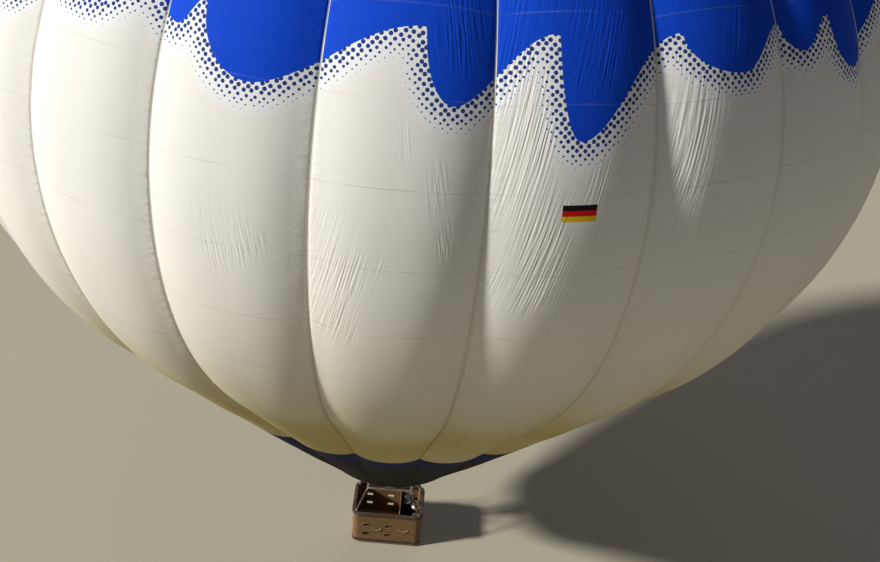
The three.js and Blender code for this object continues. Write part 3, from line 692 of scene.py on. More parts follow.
def wicker_paint():
    p = Paint("wicker", specular_ior_level=0.45)
    place = p.object_place()
    x, y, z = p.split(place)
    row = p.math("FLOOR", (z - FLOOR_TOP) * (1 / STRAND))
    start = p.add("TexWhiteNoise", p.join(row, 0.5)) * 9.0
    rod_index = p.math("FLOOR", p.math("MULTIPLY_ADD", x + y, 0.9, start))
    tone = p.add("TexWhiteNoise", p.join(row, rod_index))
    spots = p.noise(place, 26.0, 4.0)
    fibre = p.noise(p.place(place, scale=(14, 14, 420)), 1.0, 3.0)
    light, dark = (0.50, 0.30, 0.12), (0.20, 0.10, 0.035)
    shade = p.mix((tone + spots) * 0.5, light, dark)
    shade = p.mix(p.ramp(fibre, 0.55, 0.8, 0.0, 0.5), shade, dark)
    # Painted shade between the rods, and where they dive behind a stake
    relief = p.split(p.uv("relief"))[0]
    color = p.mix(p.ramp(relief, 0.5, 0.05, 0.0, 0.85), shade, (0.035, 0.018, 0.008))
    ribs = abs(p.math("SINE", z * (pi * 3 / STRAND)))
    return p.done(color, ribs + fibre * 0.6, 0.0016, p.ramp(spots, 0.3, 0.8, 0.65, 0.42))


def cloth_paint(name, color, weave=700.0, depth=0.0004):
    p = Paint(name, roughness=0.8, specular_ior_level=0.25)
    place = p.object_place()
    worn = p.noise(place, 4.0, 5.0)
    x, y, z = p.split(place)
    threads = [p.math("SINE", axis * weave) for axis in (x + y, z)]
    height = threads[0] * threads[1] + p.noise(place, 16.0, 3.0) * 6.0
    return p.done(p.mix(p.ramp(worn, 0.35, 0.75), color, shaded(color, 1.5, 0.01)), height, depth)


FRAME_STEEL = metal_paint("frame_steel", (0.56, 0.57, 0.58), 0.32)
WIRE_STEEL = metal_paint("wire_steel", (0.60, 0.61, 0.63), 0.38)
COIL_STEEL = metal_paint("coil_steel", (0.42, 0.36, 0.31), 0.38)
BRASS = metal_paint("burner_brass", (0.62, 0.44, 0.18), 0.34)
ALUMINIUM = metal_paint("cylinder_aluminium", (0.72, 0.73, 0.74), 0.36)
SLEEVE = leather_paint("sleeve_leather", (0.060, 0.034, 0.020))
RIM_LEATHER = leather_paint("rim_leather", (0.050, 0.027, 0.016))
SUEDE = leather_paint("suede_trim", (0.16, 0.085, 0.042))
WICKER = wicker_paint()
PLYWOOD = wood_paint("floor_plywood", (0.55, 0.36, 0.18), 0, ply=0.0067)
RUNNER_WOOD = wood_paint("runner_wood", (0.33, 0.20, 0.10), 0)
POST_WOOD = wood_paint("post_wood", (0.42, 0.27, 0.13), 2)
ROPE = cloth_paint("rope", (0.36, 0.28, 0.16), 900.0, 0.0012)
HEM_CLOTH = cloth_paint("mouth_fabric", (0.014, 0.013, 0.013))
JACKET_CLOTH = cloth_paint("jacket_cloth", (0.018, 0.030, 0.11))
STRAP_CLOTH = cloth_paint("strap_cloth", (0.03, 0.03, 0.032), 1400.0)


# Crown ring, with a loop of each load tape round it
CROWN_RING_RADIUS = 0.150
LOOP_POINTS = 14


def make_crown_ring():
    section = [(CROWN_RING_RADIUS + 0.019 * cos(a), DOME + 0.0085 * sin(a)) for a in turns(16)]
    ring = lathe(section, 96, 0, closed=True)
    piece("crown_ring", [ring], ALUMINIUM, "crown_ring_and_tapes", sharp=50)
    a = turns(LOOP_POINTS)
    loops = []
    for index in range(GORES):
        angle = (index + 0.5) * STEP
        side = polar(0.0155, angle + pi / 2)
        inner, outer = (
            polar(CROWN_RING_RADIUS + (0.0195 + grow) * cos(a), angle, DOME + (0.009 + grow / 2) * sin(a))
            for grow in (0, 0.0015)
        )
        loops.append(skin(np.stack([inner + side, inner - side, outer - side, outer + side], 1), closed=True))
    uvs = {"metres": np.tile((0.0, TOP_S), (GORES * LOOP_POINTS * 4, 1))}
    piece("crown_tape_loops", loops, TAPE, uvs=uvs, sharp=60)


make_crown_ring()


# Parachute valve: a cloth disc that lies under the crossing tapes and swells a little between them
VALVE_TOP_DEPTH = 0.0115
VALVE_RINGS, VALVE_SPOKES = 34, GORES * 6


def valve_paint():
    p = Paint("valve_fabric", roughness=0.65, specular_ior_level=0.05, **THIN_CLOTH)
    x, y, _ = p.split(p.object_place())
    reach = p.math("SQRT", x * x + y * y)
    turn = p.math("ARCTAN2", y, x) * (GORES / TURN)
    off = abs(p.math("FRACT", turn + 1.0) - 0.5)
    ring = abs(p.math("FRACT", reach * (1 / CLOTH_WIDTH)) - 0.5)
    seams = p.math("MAXIMUM", p.ramp(off * (reach * STEP), 0.016, 0.008), p.ramp(ring, 0.014, 0.006))
    color = p.mix(seams * 0.3, BLUE, (0.3, 0.42, 0.8))
    color = p.mix(reach > 3.45, color, (0.010, 0.030, 0.20))
    radial = p.noise(p.join(turn * 5.0, reach), 1.0, 2.0) * p.ramp(reach, 0.1, 1.2, 0.05, 1.0)
    return p.done(color, radial + seams * 0.2, 0.03)


def make_valve():
    reach = LAP_RADIUS * np.linspace(0.004, 1, VALVE_RINGS)[:, None]
    turn = turns(VALVE_SPOKES)
    s = length_at(reach)
    between = (turn / STEP - 0.5) % 1.0
    room = smoothstep(reach, 0.5, 1.6) * smoothstep(reach, 3.28, 3.0)
    lift = 0.045 * reach * STEP * room * (4 * between * (1 - between)) - VALVE_TOP_DEPTH
    points = np.stack([on_balloon(turn, s, lift), on_balloon(turn, s, lift - CLOTH_THICK)])
    count = VALVE_RINGS * VALVE_SPOKES
    faces = grid_faces(VALVE_RINGS, VALVE_SPOKES, flip=True, around=True)
    faces += grid_faces(VALVE_RINGS, VALVE_SPOKES, count, around=True)
    faces += [tuple(range(VALVE_SPOKES)), tuple(reversed(range(count, count + VALVE_SPOKES)))]
    rim = np.arange(count - VALVE_SPOKES, count)
    far = np.roll(rim, -1)
    faces += np.stack([rim, rim + count, far + count, far], -1).tolist()
    shape = [(points, faces)]
    valve = piece("valve_cloth", shape, valve_paint(), "parachute_valve", "valve")


make_valve()


# Mouth: a rope rolled into the cloth's hem, and a webbing loop with a thimble for each flying wire
CABLE_RADIUS = 0.02
CABLE_OFFSET = FIT + CABLE_RADIUS * cos(pi / 6)
CABLE_R = MOUTH_RADIUS - sin(CONE) * CABLE_OFFSET - 0.005 * cos(CONE)
CABLE_Z = MOUTH_Z - cos(CONE) * CABLE_OFFSET + 0.005 * sin(CONE)
CORNERS = {"front_right": (1, -1), "back_right": (1, 1), "back_left": (-1, 1), "front_left": (-1, -1)}
FRAME_X, FRAME_Y, FRAME_CORNER, FRAME_TUBE = 0.70, 0.52, 0.08, 0.022
PIN_UP, PIN_RADIUS = 0.060, 0.009
LINK_WIDE, LINK_HIGH, LINK_BAR = 0.066, 0.130, 0.014
LINK_MIDDLE = FRAME_Z + PIN_UP - PIN_RADIUS - FIT - LINK_BAR + LINK_HIGH / 2


def frame_corner(sign_x, sign_y, z=FRAME_Z):
    return np.array((sign_x * (FRAME_X - 0.024), sign_y * (FRAME_Y - 0.024), z))


def make_mouth():
    turn = turns(GORES * 12)
    gather = 1 + 0.06 * sin(turn * GORES * 3) + 0.03 * RANDOM.normal(size=turn.size)
    hem = tube(polar(CABLE_R, turn, CABLE_Z), CABLE_RADIUS * 0.97 * gather, 10, closed=True)
    piece("mouth_hem", [hem], HEM_CLOTH, "mouth_cable")
    a = turns(16)[:, None]
    loops, thimbles = [], []
    for index in range(GORES):
        angle = (index + 0.5) * STEP
        middle = polar(CABLE_R, angle, CABLE_Z)
        side = polar(1, angle + pi / 2)
        hang = polar(-sin(CONE), angle, -cos(CONE))
        cross = np.cross(side, hang)
        reach = 0.0235 + 0.012 * np.maximum(0, cos(a)) ** 3
        ring = middle + hang * reach * cos(a) + cross * 0.0235 * sin(a)
        loops.append(tube(ring, 0.019, 8, closed=True, flat=0.12, up=hang))
        thimble = oval(middle + hang * 0.047, hang * 0.014, cross * 0.010, 12)
        thimbles.append(tube(thimble, 0.0035, 6, closed=True, up=side))
    piece("mouth_wire_loops", loops, STRAP_CLOTH)
    piece("mouth_thimbles", thimbles, WIRE_STEEL, sharp=50)


make_mouth()


# Flying wires: six to a corner of the load frame, swaged together over a link on the clevis pin
FERRULE = ((0.019, 0), (0.025, 0.004), (0.025, 0.036), (0.021, 0.044), (0.012, 0.048))
UPPER_SWAGE = ((0.004, 0.005), (0.012, 0.008), (0.05, 0.008), (0.058, 0.005))
LOWER_SWAGE = ((0.07, 0.005), (0.058, 0.0075), (0.012, 0.0075))


def make_wires(place, sign_x, sign_y):
    corner = frame_corner(sign_x, sign_y, LINK_MIDDLE)
    diagonal = atan2(sign_y, sign_x)
    half, straight = (LINK_WIDE - LINK_BAR) / 2, (LINK_HIGH - LINK_WIDE) / 2
    link = oval(corner, polar(half, diagonal), UP * half, 28)
    link[:, 2] += np.where(sin(turns(28)) >= 0, straight, -straight)
    parts = [tube(link, LINK_BAR / 2, 8, closed=True, up=polar(1, diagonal + pi / 2))]
    parts.append(lathe(FERRULE, 20, corner + UP * (LINK_HIGH / 2 - 0.006)))
    gather = corner + UP * (LINK_HIGH / 2 + 0.03)
    for index in range(GORES):
        angle = (index + 0.5) * STEP
        if cos(angle) * sign_x > 0 and sin(angle) * sign_y > 0:
            eye = polar(CABLE_R - sin(CONE) * 0.058, angle, CABLE_Z - cos(CONE) * 0.058)
            toward = unit(gather - eye)
            distances = np.linspace(0, np.linalg.norm(gather - eye), 9)
            parts.append(bar(eye, toward, [(d, 0.004) for d in distances], 6))
            parts += [bar(eye, toward, UPPER_SWAGE, 8), bar(gather, -toward, LOWER_SWAGE, 8)]
    name = f"flying_wires_{place}"
    piece(name + "_swaged", parts, WIRE_STEEL, name, sharp=40)


for corner_name, signs in CORNERS.items():
    make_wires(corner_name, *signs)


# Basket sizes
BASKET_X, BASKET_Y, BASKET_CORNER = 1.10, 0.75, 0.20
WALL, WALL_HEIGHT = 0.04, 1.10
WALL_BOTTOM = FLOOR_TOP + FIT
WALL_TOP = WALL_BOTTOM + WALL_HEIGHT
RIM_HEIGHT = 0.08
RIM_TOP = WALL_TOP + FIT + RIM_HEIGHT
POST_RADIUS = 0.0385
POST_REACH = (BASKET_CORNER - WALL + 0.015 - 0.040) * sqrt(0.5)


def post_top(sign_x, sign_y):
    x, y = BASKET_X - BASKET_CORNER + POST_REACH, BASKET_Y - BASKET_CORNER + POST_REACH
    return np.array((sign_x * x, sign_y * y, RIM_TOP + 0.02))


def pole_direction(*signs):
    return unit(frame_corner(*signs) - post_top(*signs))


# Load frame: bent tube with clevises, pole sockets and the gimbal's bosses
FRAME_SOCKET = ((0, 0.027), (0.098, 0.027), (0.100, 0.030), (0.110, 0.030))


def make_load_frame():
    parts = [tube(round_plan(FRAME_X, FRAME_Y, FRAME_CORNER, 120, FRAME_Z)[0], FRAME_TUBE, 16, closed=True)]
    for sign_x, sign_y in CORNERS.values():
        corner = frame_corner(sign_x, sign_y)
        turn = atan2(sign_y, sign_x)
        side = polar(1, turn + pi / 2)
        for sign in (-1, 1):
            cheek = corner + side * sign * 0.016 + UP * 0.035
            parts.append(block(cheek, (0.050, 0.010, 0.070), 0.003, turn))
        parts.append(block(corner, (0.050, 0.042, 0.044), 0.004, turn))
        parts.append(rod(corner + UP * PIN_UP, side, -0.026, 0.026, PIN_RADIUS, 14))
        parts.append(rod(corner + UP * PIN_UP, side, -0.030, -0.022, 0.014, 6))
        parts.append(bar(corner, -pole_direction(sign_x, sign_y), FRAME_SOCKET, 18))
    outer, inner = FRAME_X - 0.004, FRAME_X - FRAME_TUBE - 0.030
    boss = ((outer, 0.028), (0.03 * outer + 0.97 * inner, 0.028), (inner, 0.025))
    for sign in (-1, 1):
        parts.append(bar(HUB, X * sign, boss, 20))
        parts.append(rod(HUB, X * sign, FRAME_X + 0.016, FRAME_X + 0.024, 0.015, 6))
    piece("load_frame_tube", parts, FRAME_STEEL, "load_frame", sharp=35)


make_load_frame()


# Burner: gimbal ring, block with valves, two cans and two coils
BURNER_X, CAN_RADIUS, CAN_HEIGHT = 0.165, 0.140, 0.380
BLOCK_TOP = FRAME_Z + 0.035
CAN_BOTTOM = BLOCK_TOP + FIT + 0.045
GIMBAL_RADIUS = 0.4
GAUGE_X = 0.07
JET = ((0.043, 0), (0.045, 0.004), (0.045, 0.030), (0.030, 0.045), (0.012, 0.050))
SCREW = ((0.0105, 0), (0.0105, 0.007), (0.0095, 0.009), (0.006, 0.009), (0.005, 0.004))
INLET = ((0.018, 0), (0.020, 0.002), (0.020, 0.010), (0.014, 0.014))
GRIP = ((0.34, 0.008), (0.37, 0.011), (0.92, 0.011), (0.98, 0.007))
VALVE_RODS = ((0.055, 0.118, 0.013, 16), (0.062, 0.080, 0.0185, 6), (0.112, 0.130, 0.016, 6))


def make_gimbal():
    parts = [tube(oval(HUB, X * GIMBAL_RADIUS, Y * GIMBAL_RADIUS, 72), 0.018, 14, closed=True)]
    for axis, *steps in (
        (X, GIMBAL_RADIUS, 0.6475, 0.014, 16),
        (X, 0.60, 0.612, 0.021, 20),
        (Y, 0.405, 0.352, 0.028, 20),
        (Y, 0.418, 0.426, 0.013, 6),
    ):
        parts += [rod(HUB, axis * sign, *steps) for sign in (-1, 1)]
    piece("gimbal_ring", parts, FRAME_STEEL, "burner_gimbal_ring", "gimbal_ring", sharp=35)


def gauge_paint():
    p = Paint("gauge_face", roughness=0.25)
    x, _, z = p.split(p.object_place())
    mark = p.math("SINE", p.math("ARCTAN2", z - FRAME_Z, abs(x) - GAUGE_X) * 24.0) > 0.85
    p.set("Base Color", p.mix(mark, (0.80, 0.80, 0.76), (0.05, 0.05, 0.05)))
    return p.material


def make_burner_block():
    brass = [block(HUB, (0.600, 0.150, 0.070), 0.007), rod(HUB, Y, -0.3515, 0.3515, 0.014, 16)]
    grips, faces = [], []
    for sign in (-1, 1):
        over = HUB + X * sign * BURNER_X
        valve = over - UP * 0.065
        brass.append(block(valve, (0.070, 0.120, 0.080), 0.006))
        brass += [rod(valve, Y, *steps) for steps in VALVE_RODS]
        brass += [lathe(JET, 28, over + UP * 0.030), lathe(INLET, 18, valve - Y * 0.030 - UP * 0.052)]
        brass += [rod(over + polar(0.030, angle), UP, 0.058, 0.070, 0.004, 8) for angle in turns(6)]
        brass += [lathe(SCREW, 14, HUB + X * sign * 0.275 + Y * y + UP * 0.034) for y in (-0.055, 0.055)]
        brass.append(rod(HUB, X * sign, 0.299, 0.311, 0.017, 6))
        brass.append(rod(over + X * sign * 0.075, UP, 0.030, 0.072, 0.008, 10))
        handle = (valve - Y * 0.05, -Y * 0.16 - UP * 0.06)
        brass.append(rod(*handle, 0, 0.4, 0.007, 10))
        grips.append(bar(*handle, GRIP, 14))
        gauge = HUB + X * sign * GAUGE_X - Y * 0.075
        brass.append(rod(gauge, -Y, -0.005, 0.022, 0.026, 24))
        faces.append(rod(gauge, -Y, 0.018, 0.0235, 0.022, 24))
    piece("burner_manifold", brass, BRASS, "burner_block", "burner", sharp=35)
    piece("burner_grips", grips, SLEEVE, body="burner")
    piece("burner_gauges", faces, gauge_paint(), body="burner", sharp=35)


def can_paint():
    p = Paint("can_steel", metallic=1.0)
    place = p.object_place()
    rise = p.split(place)[2] - CAN_BOTTOM
    brushed = p.noise(p.place(place, scale=(30, 30, 700)), 1.0, 3.0)
    cloud = p.noise(place, 7.0, 4.0)
    steel = p.mix(p.ramp(cloud, 0.3, 0.7), (0.50, 0.49, 0.48), (0.66, 0.65, 0.64))
    color = p.mix(p.ramp(rise + cloud * 0.08, 0.24, 0.44), steel, (0.30, 0.20, 0.16))
    return p.done(color, brushed, 0.0004, p.ramp(brushed, 0.2, 0.8, 0.22, 0.48))


# Grid of a can's wall; its air holes are open cells, and the points round a hole lie on a circle
CAN_LEVELS = (
    0, 0.003, 0.018, 0.031, 0.0375, 0.044, 0.0505, 0.057, 0.070, 0.09, 0.18, 0.27, 0.350, 0.372, CAN_HEIGHT
)
CAN_COLUMNS, COLUMNS_A_HOLE = 96, 6
HOLE_LOW, HOLE_HIGH, HOLE_LEFT, HOLE_RIGHT = 3, 7, 1, 4
HOLE_LEVEL, HOLE_RADIUS = 0.044, 0.0125


def can_spot(row, column):
    """Angle and height of a grid point."""
    pitch = TURN / CAN_COLUMNS
    angle, level, across = column * pitch, CAN_LEVELS[row], column % COLUMNS_A_HOLE
    if HOLE_LOW <= row <= HOLE_HIGH and HOLE_LEFT <= across <= HOLE_RIGHT:
        middle = (column - across + (HOLE_LEFT + HOLE_RIGHT) / 2) * pitch
        off = np.array(((angle - middle) * CAN_RADIUS, level - HOLE_LEVEL))
        off *= HOLE_RADIUS / np.linalg.norm(off)
        angle, level = middle + off[0] / CAN_RADIUS, HOLE_LEVEL + off[1]
    return angle, level


def open_cell(row, column):
    return HOLE_LOW <= row < HOLE_HIGH and HOLE_LEFT <= column % COLUMNS_A_HOLE < HOLE_RIGHT


def make_can(side, sign, material):
    """A thin shield with a row of round air holes, standing on two feet."""
    rows, columns = len(CAN_LEVELS), CAN_COLUMNS
    middle = X * sign * BURNER_X + UP * CAN_BOTTOM
    points, faces = [], []
    for radius, flare in ((CAN_RADIUS - 0.002, 0.002), (CAN_RADIUS - 0.006, 0)):
        for row in range(rows):
            wide = radius + flare * (row in (0, rows - 1))
            for column in range(columns):
                points.append(middle + polar(wide, *can_spot(row, column)))
    count = rows * columns
    for row in range(rows - 1):
        for j in range(columns):
            a, b = row * columns + j, row * columns + (j + 1) % columns
            c, d = b + columns, a + columns
            if not open_cell(row, j):
                faces += [(a, b, c, d), (d + count, c + count, b + count, a + count)]
                continue
            beside = ((row, j - 1), a, d), ((row, j + 1), c, b), ((row - 1, j), b, a), ((row + 1, j), d, c)
            faces += [(q, p, p + count, q + count) for other, p, q in beside if not open_cell(*other)]
    top = count - columns
    for j in range(columns):
        k = (j + 1) % columns
        faces += [(k, j, j + count, k + count), (top + j, top + k, top + k + count, top + j + count)]
    parts = [(points, faces)]
    for way in (-1, 1):
        foot = middle + X * way * 0.128
        parts.append(block(foot - UP * 0.0175, (0.010, 0.056, 0.053), 0.003))
        parts.append(rod(foot - UP * 0.02, X * way, 0.004, 0.009, 0.008, 6))
    name = f"burner_can_{side}"
    piece(name + "_shield", parts, material, name, "burner", sharp=35)


def make_coil(side, sign):
    radius, low = 0.095, BLOCK_TOP + FIT
    share = np.linspace(0, 1, 161)
    helix = polar(radius, 4 * TURN * share, low + 0.069 + 0.32 * share)
    helix[0, 2] -= 0.012
    path = np.vstack([(radius, 0, low), (radius, 0, low + 0.03), helix]) + X * sign * BURNER_X
    name = f"burner_coil_{side}"
    piece(name + "_tube", [tube(path, 0.009, 12)], COIL_STEEL, name, "burner")


make_gimbal()
make_burner_block()
CAN_STEEL = can_paint()
for side_name, side_sign in (("left", -1), ("right", 1)):
    make_can(side_name, side_sign, CAN_STEEL)
    make_coil(side_name, side_sign)


# Poles in laced leather sleeves
def make_pole(place, *signs):
    direction = pole_direction(*signs)
    bottom = post_top(*signs) + direction * 0.0703
    way = frame_corner(*signs) - direction * 0.1103 - bottom
    share = np.linspace(0, 1, 40)
    radius = 0.0355 + 0.0012 * sin(share * 60) + 0.0006 * RANDOM.normal(size=40)
    radius[[0, -1]] = 0.030
    across = unit(np.cross(bottom * (1, 1, 0), direction))
    inward = np.cross(across, direction)
    t = np.array((-1, 0, 1))[:, None]
    cross = direction * 0.018 * t + inward * (0.0375 - 0.003 * t * t)
    lace = []
    for i in range(14):
        middle = bottom + way * (0.07 + 0.86 * i / 13) + cross
        lace += [tube(middle + across * sign * 0.014 * t, 0.002, 5) for sign in (-1, 1)]
    bands = [rod(bottom, way, start, start + 0.02, 0.0378, 18) for start in (0.03, 0.48, 0.95)]
    name = f"pole_{place}"
    piece(name + "_sleeve", [tube(bottom + way * share[:, None], radius, 18)], SLEEVE, name)
    piece(name + "_bands", bands, STRAP_CLOTH, sharp=40)
    piece(name + "_lacing", lace, ROPE)


for corner_name, signs in CORNERS.items():
    make_pole(corner_name, *signs)


# Basket: strands woven over and under upright stakes, on both faces of every wall
FOOTHOLDS = ((-0.65, 0.33), (-0.65, 0.69), (0.05, 0.33), (0.05, 0.69))
FOOTHOLD_SIZE = (0.20, 0.12)
SCUFF = ((0.0005, 0.002), (0.004, 0.006), (0.005, 0.10), (0.002, 0.112), (-0.004, 0.112), (-0.004, 0.002))
BASKET_SOCKET = ((-0.018, 0.027), (0.058, 0.027), (0.06, 0.030), (0.07, 0.030))
WEAVE_DEPTH = 0.006


def woven(path, out, low, high, skip=None, loop=True):
    """One woven face over a plan path with two points to each stake, and how far each point stands out."""
    strands = round((high - low) / STRAND)
    columns = len(path)
    levels = np.linspace(low, high, 2 * strands + 1)
    wave = [cos(pi * (np.arange(columns) / 2 + i // 2)) for i in range(len(levels))]
    relief = np.array([0.45 + 0.55 * row if i % 2 else 0 * row - 0.25 for i, row in enumerate(wave)])
    points = path + out * WEAVE_DEPTH * relief[..., None]
    points[..., 2] = levels[:, None]
    points = points.reshape(-1, 3)
    faces = grid_faces(len(levels), columns, around=loop)
    if skip:
        faces = [face for face in faces if not skip(points[list(face)].mean(0))]
    return points, faces, (relief.ravel() + 0.25) / 1.25


def weave_piece(name, parts, replaces):
    """Woven faces as one piece, with the depth of each point for its painted shade."""
    depth = np.concatenate([depth for _, _, depth in parts])
    shapes = [(points, faces) for points, faces, _ in parts]
    piece(name, shapes, WICKER, replaces, uvs={"relief": pairs(depth, depth)})


def in_foothold(point):
    close = np.abs(point[[0, 2]] - (0, WALL_BOTTOM) - FOOTHOLDS) < np.divide(FOOTHOLD_SIZE, 2)
    return abs(point[1]) > BASKET_Y - 0.1 and close.all(1).any()


def basket_band(count, section):
    """A closed band round the basket from (outward, height) steps."""
    path, out = round_plan(BASKET_X, BASKET_Y, BASKET_CORNER, count)
    return skin([path + out * way + UP * level for way, level in section], closed=True)


def make_basket_wall():
    faces = []
    for inset, way in ((WEAVE_DEPTH, 1), (WALL - WEAVE_DEPTH, -1)):
        path, out = round_plan(BASKET_X - inset, BASKET_Y - inset, BASKET_CORNER - inset, 256)
        points, quads, depths = woven(path, out * way, WALL_BOTTOM, WALL_TOP, in_foothold)
        faces.append((points, [quad[::way] for quad in quads], depths))
    weave_piece("basket_weave", faces, "basket_wall")
    trims = []
    for inset, low in ((0.012, WALL_BOTTOM), (0.004, WALL_TOP - 0.03)):
        outer, inner, high = -inset, inset - WALL, low + 0.03
        trims.append(basket_band(96, ((inner, low), (outer, low), (outer, high), (inner, high))))
    wide, high = FOOTHOLD_SIZE
    rim = round_plan(wide / 2 + 0.004, high / 2 + 0.004, 0.03, 40)[0][:, [0, 2, 1]]
    deep = Y * (WALL / 2 - 0.004)
    for x, height in FOOTHOLDS:
        for side in (-1, 1):
            ring = rim + (x, side * (BASKET_Y - WALL / 2), WALL_BOTTOM + height)
            trims += [tube(ring + way * deep, 0.008, 8, closed=True, up=Y) for way in (-1, 1)]
            outer = ring + 0.06 * rim
            trims.append(skin([ring + deep, outer + deep, outer - deep, ring - deep], closed=True))
    piece("basket_trim", trims, SUEDE, sharp=50)
    posts, sockets = [], []
    for signs in CORNERS.values():
        top = post_top(*signs)
        posts.append(rod(top, UP, WALL_BOTTOM - top[2], 0, POST_RADIUS, 20))
        sockets.append(bar(top, pole_direction(*signs), BASKET_SOCKET, 18))
    piece("basket_posts", posts, POST_WOOD, sharp=40)
    piece("basket_sockets", sockets, FRAME_STEEL, sharp=40)
    band = basket_band(128, [(way, WALL_BOTTOM + rise) for way, rise in SCUFF])
    piece("basket_scuff_band", [band], RIM_LEATHER, sharp=50)


def make_partition():
    x, columns = 0.38, 53
    half = BASKET_Y - WALL - FIT
    low, high = WALL_BOTTOM, FLOOR_TOP + 0.96
    faces = []
    for way in (-1, 1):
        path = X * (x + way * 0.014) + Y * way * np.linspace(-half, half, columns)[:, None]
        faces.append(woven(path, X * way, low, high - 0.03, loop=False))
    weave_piece("partition_weave", faces, "basket_partition")
    trim = [block((x, 0, high - 0.018), (0.040, 2 * half, 0.036), 0.012)]
    for way in (-1, 1):
        trim.append(block((x, way * (half - 0.012), (low + high) / 2), (0.032, 0.024, high - low), 0.006))
    piece("partition_trim", trim, SUEDE, sharp=50)


def make_rim():
    """A padded roll, drawn in where it is laced every quarter metre."""
    count, laced, inset, level = 360, 28, WALL / 2, WALL_TOP + FIT + RIM_HEIGHT / 2
    path, out = round_plan(BASKET_X - inset, BASKET_Y - inset, BASKET_CORNER - inset, count, level)
    phase = (np.arange(count) * laced / count) % 1.0
    full = 1 - 0.07 * np.exp(-((np.minimum(phase, 1 - phase) / 0.07) ** 2))[:, None]
    rows = []
    for a in turns(18):
        x = np.copysign(0.063 * abs(cos(a)) ** 0.8, cos(a))
        z = np.copysign(0.040 * abs(sin(a)) ** 0.75, sin(a))
        rows.append(path + (out * x + UP * z) * full)
    rim = piece("rim_pad_roll", [skin(rows, closed=True)], RIM_LEATHER, "rim_pad")
    wraps = []
    for i in range(laced):
        at = round(i * count / laced)
        ring = oval(path[at], out[at] * 0.0605, UP * 0.0385, 20)
        wraps.append(tube(ring, 0.003, 6, closed=True, up=np.cross(out[at], UP)))
    piece("rim_lacing", wraps, ROPE)


KNOT = ((0.006, -0.010), (0.013, -0.006), (0.015, 0), (0.013, 0.006), (0.006, 0.010))


def make_handles():
    """Rope handles on the ends and sides of the basket."""
    ropes = []
    t = np.linspace(-1, 1, 15)[:, None]
    for axis, along, reach, places in ((X, Y, BASKET_X, (0.35, -0.35)), (Y, X, BASKET_Y, (-0.3, 0.55))):
        for out, place in ((axis * way, place) for way in (1, -1) for place in places):
            sag = UP * (WALL_BOTTOM + 0.60 + 0.055 * (t * t - 1))
            path = out * (reach + 0.012 + 0.020 * (1 - t * t)) + along * (place + 0.13 * t) + sag
            ropes.append(rope([path[0] - out * 0.03, *path, path[-1] - out * 0.03], 0.011))
            ropes += [lathe(KNOT, 10, end) for end in path[[0, -1]]]
    piece("basket_handles", ropes, ROPE)


BOLT_HEAD = ((0.016, 0), (0.016, 0.001), (0.011, 0.004), (0.004, 0.005))


def make_runners():
    half, low, high = 1.02, GROUND, GROUND + 0.060
    outline = [(-half, high), (-half, high - 0.018), (0.07 - half, low)]
    outline += [(-x, z) for x, z in reversed(outline)]
    bolts = []
    for name, y in (("front", -0.52), ("middle", 0.0), ("back", 0.52)):
        rows = []
        for across, shrink in ((0.035, 0.006), (0.031, 0.0), (-0.031, 0.0), (-0.035, 0.006)):
            rows.append([(x * (1 - shrink / half), y + across, z + shrink * (z == low)) for x, z in outline])
        node = f"runner_{name}"
        piece(node + "_skid", [skin(rows)], RUNNER_WOOD, node, sharp=30)
        bolts += [lathe(BOLT_HEAD, 16, (x, 0.9 * y, FLOOR_TOP)) for x in (-0.9, -0.3, 0.25, 0.78)]
    piece("floor_bolts", bolts, FRAME_STEEL, sharp=40)


make_basket_wall()
make_partition()
make_rim()
make_handles()
make_runners()
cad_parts["basket_floor"].data.materials.clear()
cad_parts["basket_floor"].data.materials.append(PLYWOOD)


# Fuel cylinders: aluminium, in a padded jacket with two straps; profiles are (radius, height) steps
CYLINDERS = {
    "front_inner": (0.58, -0.535),
    "front_outer": (0.885, -0.30),
    "back_inner": (0.58, 0.535),
    "back_outer": (0.885, 0.30),
}
TANK = (
    (0.140, 0.0), (0.150, 0.0), (0.163, 0.012), (0.166, 0.045), (0.166, 0.66),
    (0.160, 0.71), (0.145, 0.745), (0.120, 0.765), (0.090, 0.772), (0.030, 0.776),
)
COLLAR = ((0.088, 0.765), (0.095, 0.765), (0.095, 0.872), (0.0935, 0.880), (0.0895, 0.880), (0.088, 0.872))
TAP = ((0.020, 0.77), (0.026, 0.775), (0.026, 0.80), (0.018, 0.805), (0.018, 0.83))
TAP_WHEEL = ((0.012, 0.826), (0.0245, 0.828), (0.026, 0.834), (0.0245, 0.842), (0.008, 0.845))
JACKET_ROWS, JACKET_SIDES, JACKET_LOW, JACKET_HIGH = 26, 48, 0.035, 0.665
STRAP_RADIUS = 0.1695


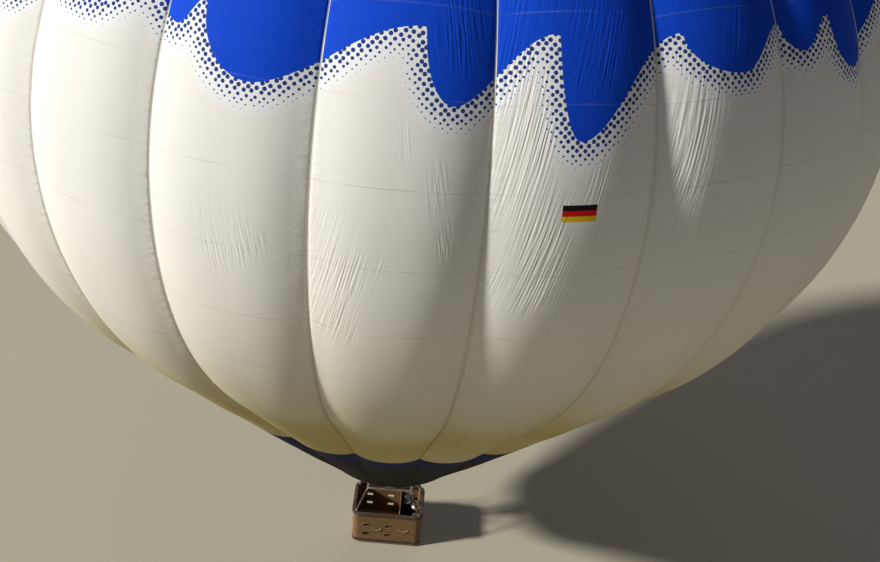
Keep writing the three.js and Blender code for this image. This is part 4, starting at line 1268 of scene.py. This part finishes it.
def make_cylinder(place, x, y):
    at = np.array((x, y, WALL_BOTTOM))
    name = f"fuel_cylinder_{place}"
    metal = [lathe(TANK, 40, at), lathe(COLLAR, 40, at, closed=True)]
    piece(name + "_tank", metal, ALUMINIUM, name, sharp=35)
    outlet = at + UP * 0.79
    tap = [lathe(TAP, 16, at), lathe(TAP_WHEEL, 12, at)]
    tap += [rod(outlet, X, 0, 0.060, 0.009, 10), rod(outlet, X, 0.052, 0.068, 0.013, 6)]
    piece(name + "_tap", tap, BRASS, sharp=35)
    levels = np.linspace(JACKET_LOW, JACKET_HIGH, JACKET_ROWS)[:, None]
    uneven = 0.0006 * RANDOM.normal(size=(JACKET_ROWS, JACKET_SIDES))
    radius = 0.1672 + 0.0015 * np.abs(sin(levels * TURN / 0.14)) + uneven
    radius[[0, -1]] = 0.1662
    radius = np.pad(radius, ((1, 1), (0, 0)), constant_values=0.1655)
    levels = np.pad(levels, ((1, 1), (0, 0)), mode="edge")
    jacket = skin(at + polar(radius, turns(JACKET_SIDES), levels), closed=True)
    piece(name + "_jacket", [jacket], JACKET_CLOTH)
    toward = atan2(-y, 0.2 - x)
    straps, buckles = [], []
    for z in (0.18, 0.48):
        strap = ((0.1660, z), (STRAP_RADIUS, z + 0.002), (STRAP_RADIUS, z + 0.036), (0.1660, z + 0.038))
        points, faces = lathe(strap, 48, at)
        straps.append((points, faces[:-2]))
        buckle = at + polar(STRAP_RADIUS, toward, z + 0.019)
        buckles.append(block(buckle, (0.003, 0.05, 0.044), 0.001, toward))
    piece(name + "_straps", straps, STRAP_CLOTH, sharp=40)
    piece(name + "_buckles", buckles, FRAME_STEEL, sharp=40)


for cylinder_name, cylinder_at in CYLINDERS.items():
    make_cylinder(cylinder_name, *cylinder_at)


# Floor, soft key light from the upper left, pale surroundings
FLOOR_HALF = 400.0
FLOOR_COLOR = (0.46, 0.43, 0.325)
WORLD_COLOR, WORLD_STRENGTH = (0.95, 0.93, 1.22, 1), 0.088
SUNS = (  # name, direction to it, energy, angle in degrees, colour
    ("key", (-0.848, -0.275, 0.500), 4.4, 5, (1.0, 0.985, 0.95)),
    ("back", (0.25, 0.92, 0.30), 0.6, 40, (1.0, 0.98, 0.95)),
)


def make_stage():
    corners = [(x * FLOOR_HALF, y * FLOOR_HALF, GROUND) for x, y in ((-1, -1), (1, -1), (1, 1), (-1, 1))]
    mesh = bpy.data.meshes.new("studio_floor")
    mesh.from_pydata(corners, [], [(0, 1, 2, 3)])
    mesh.materials.append(Paint("studio_floor", roughness=0.9, base_color=FLOOR_COLOR).material)
    add_object("studio_floor", mesh)
    for name, direction, energy, angle, color in SUNS:
        data = bpy.data.lights.new(name, "SUN")
        data.energy, data.angle, data.color = energy, radians(angle), color
        add_object(name, data).rotation_euler = Vector(direction).to_track_quat("Z", "Y").to_euler()
    world = bpy.data.worlds.new("studio")
    world.use_nodes = True
    background = world.node_tree.nodes["Background"]
    background.inputs[0].default_value = WORLD_COLOR
    background.inputs[1].default_value = WORLD_STRENGTH
    bpy.context.scene.world = world
    bpy.context.scene.view_settings.view_transform = "Standard"


make_stage()
